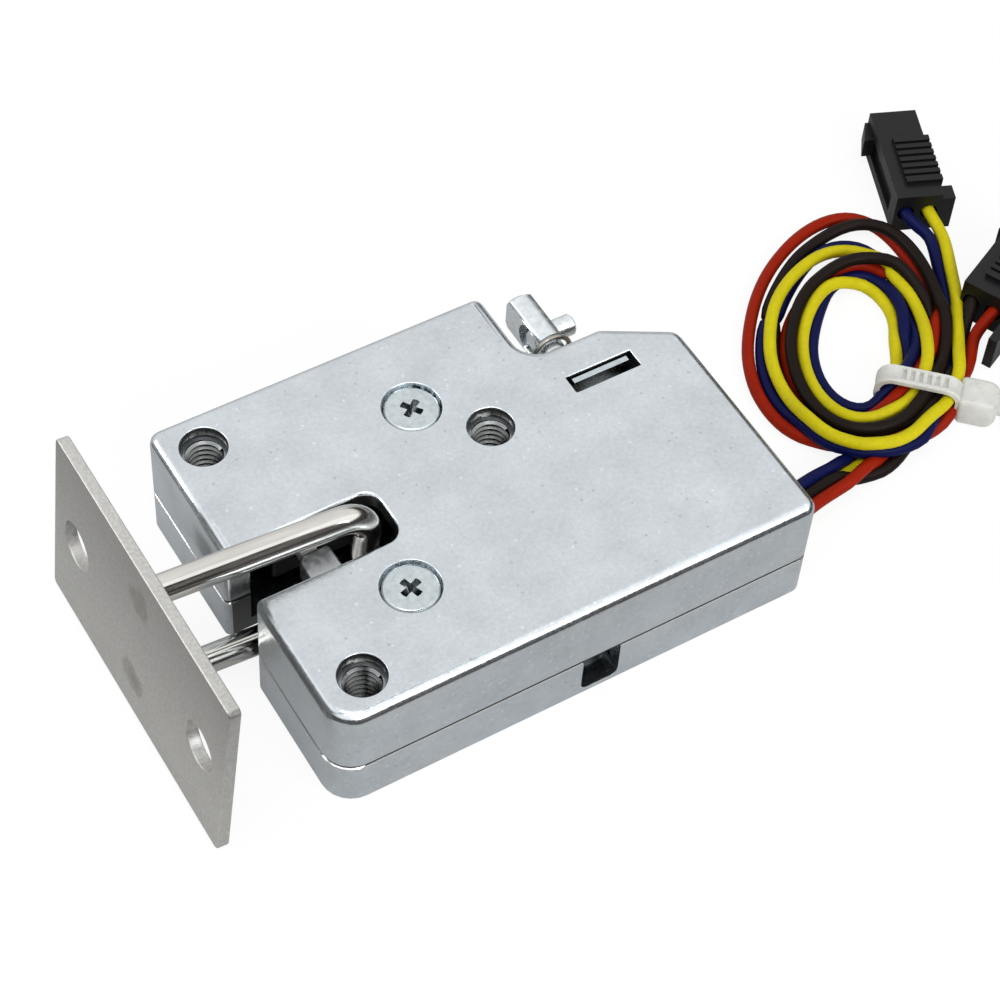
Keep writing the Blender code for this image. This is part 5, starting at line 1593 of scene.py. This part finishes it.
@dataclass
class Wiring:
    """The four wires, pushed clear of each other, with their tie and connectors."""

    wall: float = 0.0252
    inside: float = 0.0222
    diameter: float = 0.0013
    spacing: float = 0.0009
    rounds: int = 120
    push: float = 0.24
    stiffness: float = 0.16
    pull: Point = (0.060, 0.060, 0.015)
    weight: float = 0.000006
    tie: Tie = field(default_factory=Tie)
    wires: tuple[Wire, ...] = (
        Wire("blue", Colour.BLUE, -0.01065, 0.00385, BLUE_WAY,
             ((0.06065, 0.01300, 0.0026), (0.06105, 0.01600, 0.0026)), "plug_shell"),
        Wire("black", Colour.BLACK, -0.01220, 0.00385, BLACK_WAY,
             ((0.05940, 0.00128, 0.0026), (0.06124, 0.00212, 0.0026)), "socket_shell"),
        Wire("red", Colour.RED, -0.01375, 0.00385, RED_WAY,
             ((0.06048, -0.00099, 0.0026), (0.06229, -0.00015, 0.0026)), "socket_shell"),
        Wire("yellow", Colour.YELLOW, -0.01220, 0.00235, YELLOW_WAY,
             ((0.06306, 0.01363, 0.0026), (0.06370, 0.01530, 0.0026)), "plug_shell"),
    )

    def route(self, wire: Wire) -> list[Vector]:
        """Lay a wire's points through the wall, round the coil and to its connector.

        Args:
            wire: The wire.

        Returns:
            The points.
        """
        y, z = wire.exit_y, wire.exit_z
        way = [Vector(point) / 1000 for point in wire.way]
        start = [Vector((self.inside, y, z)), Vector((self.wall, y, z)), Vector((self.wall + 0.0016, y, z))]
        sag = start[-1].lerp(way[0], 0.45) + Vector((0, 0, -0.0003))
        return start + [sag] + way + [Vector(point) for point in wire.tail]

    def sampled(self, route: Sequence[Vector]) -> np.ndarray:
        """Set points at an even spacing on a smooth curve.

        Args:
            route: The points that the curve goes through.

        Returns:
            The evenly spaced points.
        """
        padded = [2 * route[0] - route[1]] + list(route) + [2 * route[-1] - route[-2]]
        dense = []
        for index in range(1, len(padded) - 2):
            before, start, end, after = padded[index - 1:index + 3]
            for step in range(12):
                t = step / 12
                dense.append(0.5 * (2 * start + (end - before) * t
                                    + (2 * before - 5 * start + 4 * end - after) * t ** 2
                                    + (3 * start - before - 3 * end + after) * t ** 3))
        dense.append(padded[-2])
        points = np.array([tuple(point) for point in dense])
        run = run_length(points)
        count = int(run[-1] / self.spacing)
        marks = np.linspace(0.0, run[-1], count)
        return np.stack([np.interp(marks, run, points[:, axis]) for axis in range(3)], 1)

    def settle_bundle(self, paths: list[np.ndarray]) -> list[np.ndarray]:
        """Push touching wires apart and keep each one smooth and on the table.

        Args:
            paths: The wires' points, evenly spaced.

        Returns:
            The settled points.
        """
        sizes = [len(path) for path in paths]
        owner = np.repeat(np.arange(len(paths)), sizes)
        order = np.concatenate([np.arange(size) for size in sizes])
        last = np.repeat(sizes, sizes)
        points = np.concatenate(paths)
        home = points.copy()
        held = (order < 5) | (order > last - 4)
        gap = self.diameter * 1.01
        near_self = (owner[:, None] == owner[None, :]) & (np.abs(order[:, None] - order[None, :]) < 5)
        inner = np.flatnonzero((order > 0) & (order < last - 1))
        for _ in range(self.rounds):
            apart = points[:, None, :] - points[None, :, :]
            distance = np.linalg.norm(apart, axis=2)
            close = (distance < gap) & ~near_self
            push = np.where(close, (gap - distance) / np.maximum(distance, 1e-6), 0.0)
            move = (apart * push[:, :, None]).sum(axis=1) * self.push
            middle = (points[inner - 1] + points[inner + 1]) / 2
            move[inner] += (middle - points[inner]) * self.stiffness
            move += (home - points) * np.array(self.pull)
            move[:, 2] -= self.weight
            move[held] = 0.0
            points = points + move
            lowest = self.diameter / 2 + 0.00002 + self.tie.lift(points)
            points[:, 2] = np.maximum(points[:, 2], lowest)
        return [points[owner == index] for index in range(len(paths))]

    def build(self) -> None:
        ends = {connector.name: connector.build() for connector in
                (Connector("plug_shell", "plug_housing", (0.0619, 0.0141), math.radians(68)),
                 Connector("socket_shell", "socket_housing", (0.05995, 0.00014), math.radians(24.9)))}
        tie = self.tie.build()
        paths = self.settle_bundle([self.sampled(self.route(wire)) for wire in self.wires])
        for wire, path in zip(self.wires, paths):
            length = float(np.linalg.norm(np.diff(path, axis=0), axis=1).sum())
            LOG.info("%s wire is %.1f mm long", wire.name, length * 1000)
            item = tube(f"wire_{wire.name}", [tuple(point) for point in path], self.diameter)
            nodes = [f"lead_{wire.name}", f"tail_{wire.name}"]
            nodes += ["wire_coil"] if wire.name == "blue" else []
            settle(item, INSULATION[wire.colour], Body.HOUSING, f"{wire.name}_insulation", nodes)
            others = list(ends[wire.connector]) + ([tie] if wire.name == "yellow" else [])


@dataclass
class Studio:
    """Camera, floor, lamps and world."""

    eye: Point = (-0.085064, -0.127545, 0.210683)
    right: Point = (0.858507, -0.510528, 0.048239)
    down: Point = (-0.382842, -0.700678, -0.602065)
    ahead: Point = (0.341171, 0.498410, -0.796988)
    lens: float = 98.19
    sensor: float = 36.0
    clear: tuple[float, float, float, float] = (-0.050, -0.037, 0.100, 0.070)
    ambient: float = 0.60
    mirrored_floor: float = 0.26
    flag_across: tuple[float, float] = (-0.046, -0.004)
    flag_up: tuple[float, float] = (0.0205, 0.046)
    flag_near: float = -0.0187
    floor_white: float = 1.04
    floor_shares: tuple[float, float] = (0.45, 0.85)
    card_reach: float = 0.6
    glow: float = 1.35
    glow_rise: tuple[float, float] = (0.34, 0.42)
    sky: tuple[float, ...] = (0.30, 0.46, 0.05, 1.0)
    back_wall: tuple[float, ...] = (0.60, 0.85, 0.0, 0.9)
    front_side: tuple[float, ...] = (-0.12, -0.02, 1.0, 0.0)
    left_side: tuple[float, ...] = (-0.42, -0.30, 1.0, 0.0)
    aim: Point = (0.01, 0.0, 0.01)
    lamps: tuple[tuple[str, Point, tuple[float, float], float], ...] = (
        ("front_box", (0.10, -0.62, 0.42), (0.60, 0.28), 2.2),
        ("left_box", (-0.62, 0.34, 0.30), (0.40, 0.24), 1.2),
        ("high_box", (-0.10, -0.12, 0.85), (0.45, 0.45), 1.6),
    )

    def camera(self) -> None:
        """Set the camera at the photograph's place."""
        data = bpy.data.cameras.new("camera")
        data.lens = self.lens
        data.sensor_width = self.sensor
        data.clip_start = 0.01
        data.clip_end = 10.0
        item = linked("camera", data)
        axes = (Vector(self.right), -Vector(self.down), -Vector(self.ahead))
        turn = Matrix([[axis[row] for axis in axes] for row in range(3)]).to_4x4()
        item.matrix_world = Matrix.Translation(self.eye) @ turn
        bpy.context.scene.camera = item

    def lamp(self, name: str, place: Point, size: tuple[float, float], watts: float) -> None:
        """Set a soft rectangular lamp, aimed at the lock.

        Args:
            name: The lamp's name.
            place: Where it stands.
            size: Its width and height.
            watts: Its power.
        """
        data = bpy.data.lights.new(name, "AREA")
        data.shape = "RECTANGLE"
        data.size, data.size_y = size
        data.energy = watts
        item = linked(name, data)
        away = Vector(place) - Vector(self.aim)
        item.matrix_world = Matrix.Translation(place) @ away.to_track_quat("Z", "Y").to_matrix().to_4x4()
        item.visible_camera = False

    def floor(self) -> None:
        """A pale table that shows white and keeps a faint shadow."""
        shape = bmesh.new()
        bmesh.ops.create_grid(shape, x_segments=1, y_segments=1, size=1.5)
        item = scratch_object("table_top", shape)
        item.location.z = -0.00005
        made = bpy.data.materials.new("table")
        made.use_nodes = True
        graph = Graph(made.node_tree)
        made.node_tree.nodes.remove(made.node_tree.nodes["Principled BSDF"])
        path = graph.add("LightPath")
        seen = graph.math("MAXIMUM", path.outputs["Is Camera Ray"],
                          graph.math("MAXIMUM", path.outputs["Is Glossy Ray"],
                                     path.outputs["Is Transmission Ray"]))
        lit = graph.add("BsdfDiffuse", {"Color": (0.86, 0.86, 0.86, 1.0)})
        level = graph.span(path.outputs["Is Camera Ray"], 0.0, 1.0, self.mirrored_floor,
                           self.floor_white)
        white = graph.add("Emission", {"Color": (1.0, 1.0, 1.0, 1.0), "Strength": level})
        share = graph.span(path.outputs["Is Camera Ray"], 0.0, 1.0, *self.floor_shares)
        mixed = graph.add("MixShader", {0: graph.math("MULTIPLY", seen, share), 1: lit.outputs[0],
                                        2: white.outputs[0]})
        out = made.node_tree.nodes["Material Output"]
        made.node_tree.links.new(mixed.outputs[0], out.inputs["Surface"])
        item.data.materials.append(made)

    def cards(self) -> None:
        """Dark cards on the table in front of the lock and beside it, seen only in reflections."""
        made = bpy.data.materials.new("dark card")
        made.use_nodes = True
        shader = made.node_tree.nodes["Principled BSDF"]
        shader.inputs["Base Color"].default_value = (0.030, 0.022, 0.017, 1.0)
        shader.inputs["Roughness"].default_value = 0.9
        left, near, right, far = self.clear
        out = self.card_reach
        spans = (((-out, -out), (out, near)), ((-out, near), (left, far)), ((right, near), (out, far)))
        for index, (start, end) in enumerate(spans):
            shape = bmesh.new()
            bmesh.ops.create_grid(shape, x_segments=1, y_segments=1, size=0.5)
            size = Vector((end[0] - start[0], end[1] - start[1]))
            middle = Vector((start[0] + end[0], start[1] + end[1])) / 2
            place = Matrix.Translation((*middle, 0.0004)) @ Matrix.Diagonal((*size, 1.0, 1.0))
            item = scratch_object(f"dark_card_{index + 1}", moved(shape, place))
            item.data.materials.append(made)
            self.mirrored_only(item)

    def mirrored_only(self, item: bpy.types.Object) -> None:
        """Show a card in reflections and nowhere else.

        Args:
            item: The card.
        """
        item.visible_camera = False
        item.visible_diffuse = False
        item.visible_shadow = False
        item.visible_transmission = False

    def flag(self) -> None:
        """Stand a dark flag over the near edge, for the strike's bar to mirror."""
        (left, right), (low, high) = self.flag_across, self.flag_up
        shape = bmesh.new()
        bmesh.ops.create_grid(shape, x_segments=1, y_segments=1, size=0.5)
        middle = Matrix.Translation(((left + right) / 2, self.flag_near, (low + high) / 2))
        size = Matrix.Diagonal((right - left, high - low, 1.0, 1.0))
        upright = Matrix.Rotation(math.pi / 2, 4, "X")
        item = scratch_object("dark_flag", moved(shape, middle @ upright @ size))
        item.data.materials.append(bpy.data.materials["dark card"])
        self.mirrored_only(item)

    def world(self) -> None:
        """White to look at, a plain even light, and a darker horizon in front for the metal."""
        world = bpy.data.worlds.new("studio")
        world.use_nodes = True
        bpy.context.scene.world = world
        graph = Graph(world.node_tree)
        back = world.node_tree.nodes["Background"]
        path = graph.add("LightPath")
        split = graph.add("SeparateXYZ", {0: graph.add("TexCoord").outputs["Generated"]})
        above = graph.span(split.outputs[2], *self.sky)
        behind = graph.span(split.outputs[1], *self.back_wall)
        sides = graph.math("MAXIMUM", graph.span(split.outputs[1], *self.front_side),
                           graph.span(split.outputs[0], *self.left_side))
        glow = graph.math("MULTIPLY", sides,
                          graph.span(split.outputs[2], *self.glow_rise, 0.0, self.glow))
        mirrored = graph.math("MULTIPLY", graph.math("MAXIMUM", glow, graph.math("MAXIMUM", above, behind)),
                              graph.math("MAXIMUM", path.outputs["Is Glossy Ray"],
                                         path.outputs["Is Transmission Ray"]))
        seen = graph.math("MAXIMUM", mirrored, path.outputs["Is Camera Ray"])
        lit = graph.math("MULTIPLY", path.outputs["Is Diffuse Ray"], self.ambient)
        back.inputs["Color"].default_value = (1.0, 1.0, 1.0, 1.0)
        world.node_tree.links.new(graph.math("MAXIMUM", seen, lit), back.inputs["Strength"])

    def build(self) -> None:
        """Set the whole stage."""
        self.camera()
        self.floor()
        self.cards()
        self.flag()
        self.world()
        for lamp in self.lamps:
            self.lamp(*lamp)
        bpy.context.scene.view_settings.view_transform = "Standard"


def main() -> None:
    """Build every sub-assembly in order."""
    logging.basicConfig(level=logging.INFO, format="%(name)s: %(message)s")
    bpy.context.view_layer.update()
    Studio().build()
    Wiring().build()
    housing = Housing()
    housing.build()
    screws = (("near_screw", "hook_screw", 0.35), ("far_screw", "cover_screw", 0.62))
    for (name, node, turn), inset in zip(screws, housing.screws):
        Screw(name, node, housing.at(inset), turn).build()
    Strike().build()
    Mechanism().build()
    Springs().build()


if __name__ == "__main__":
    main()
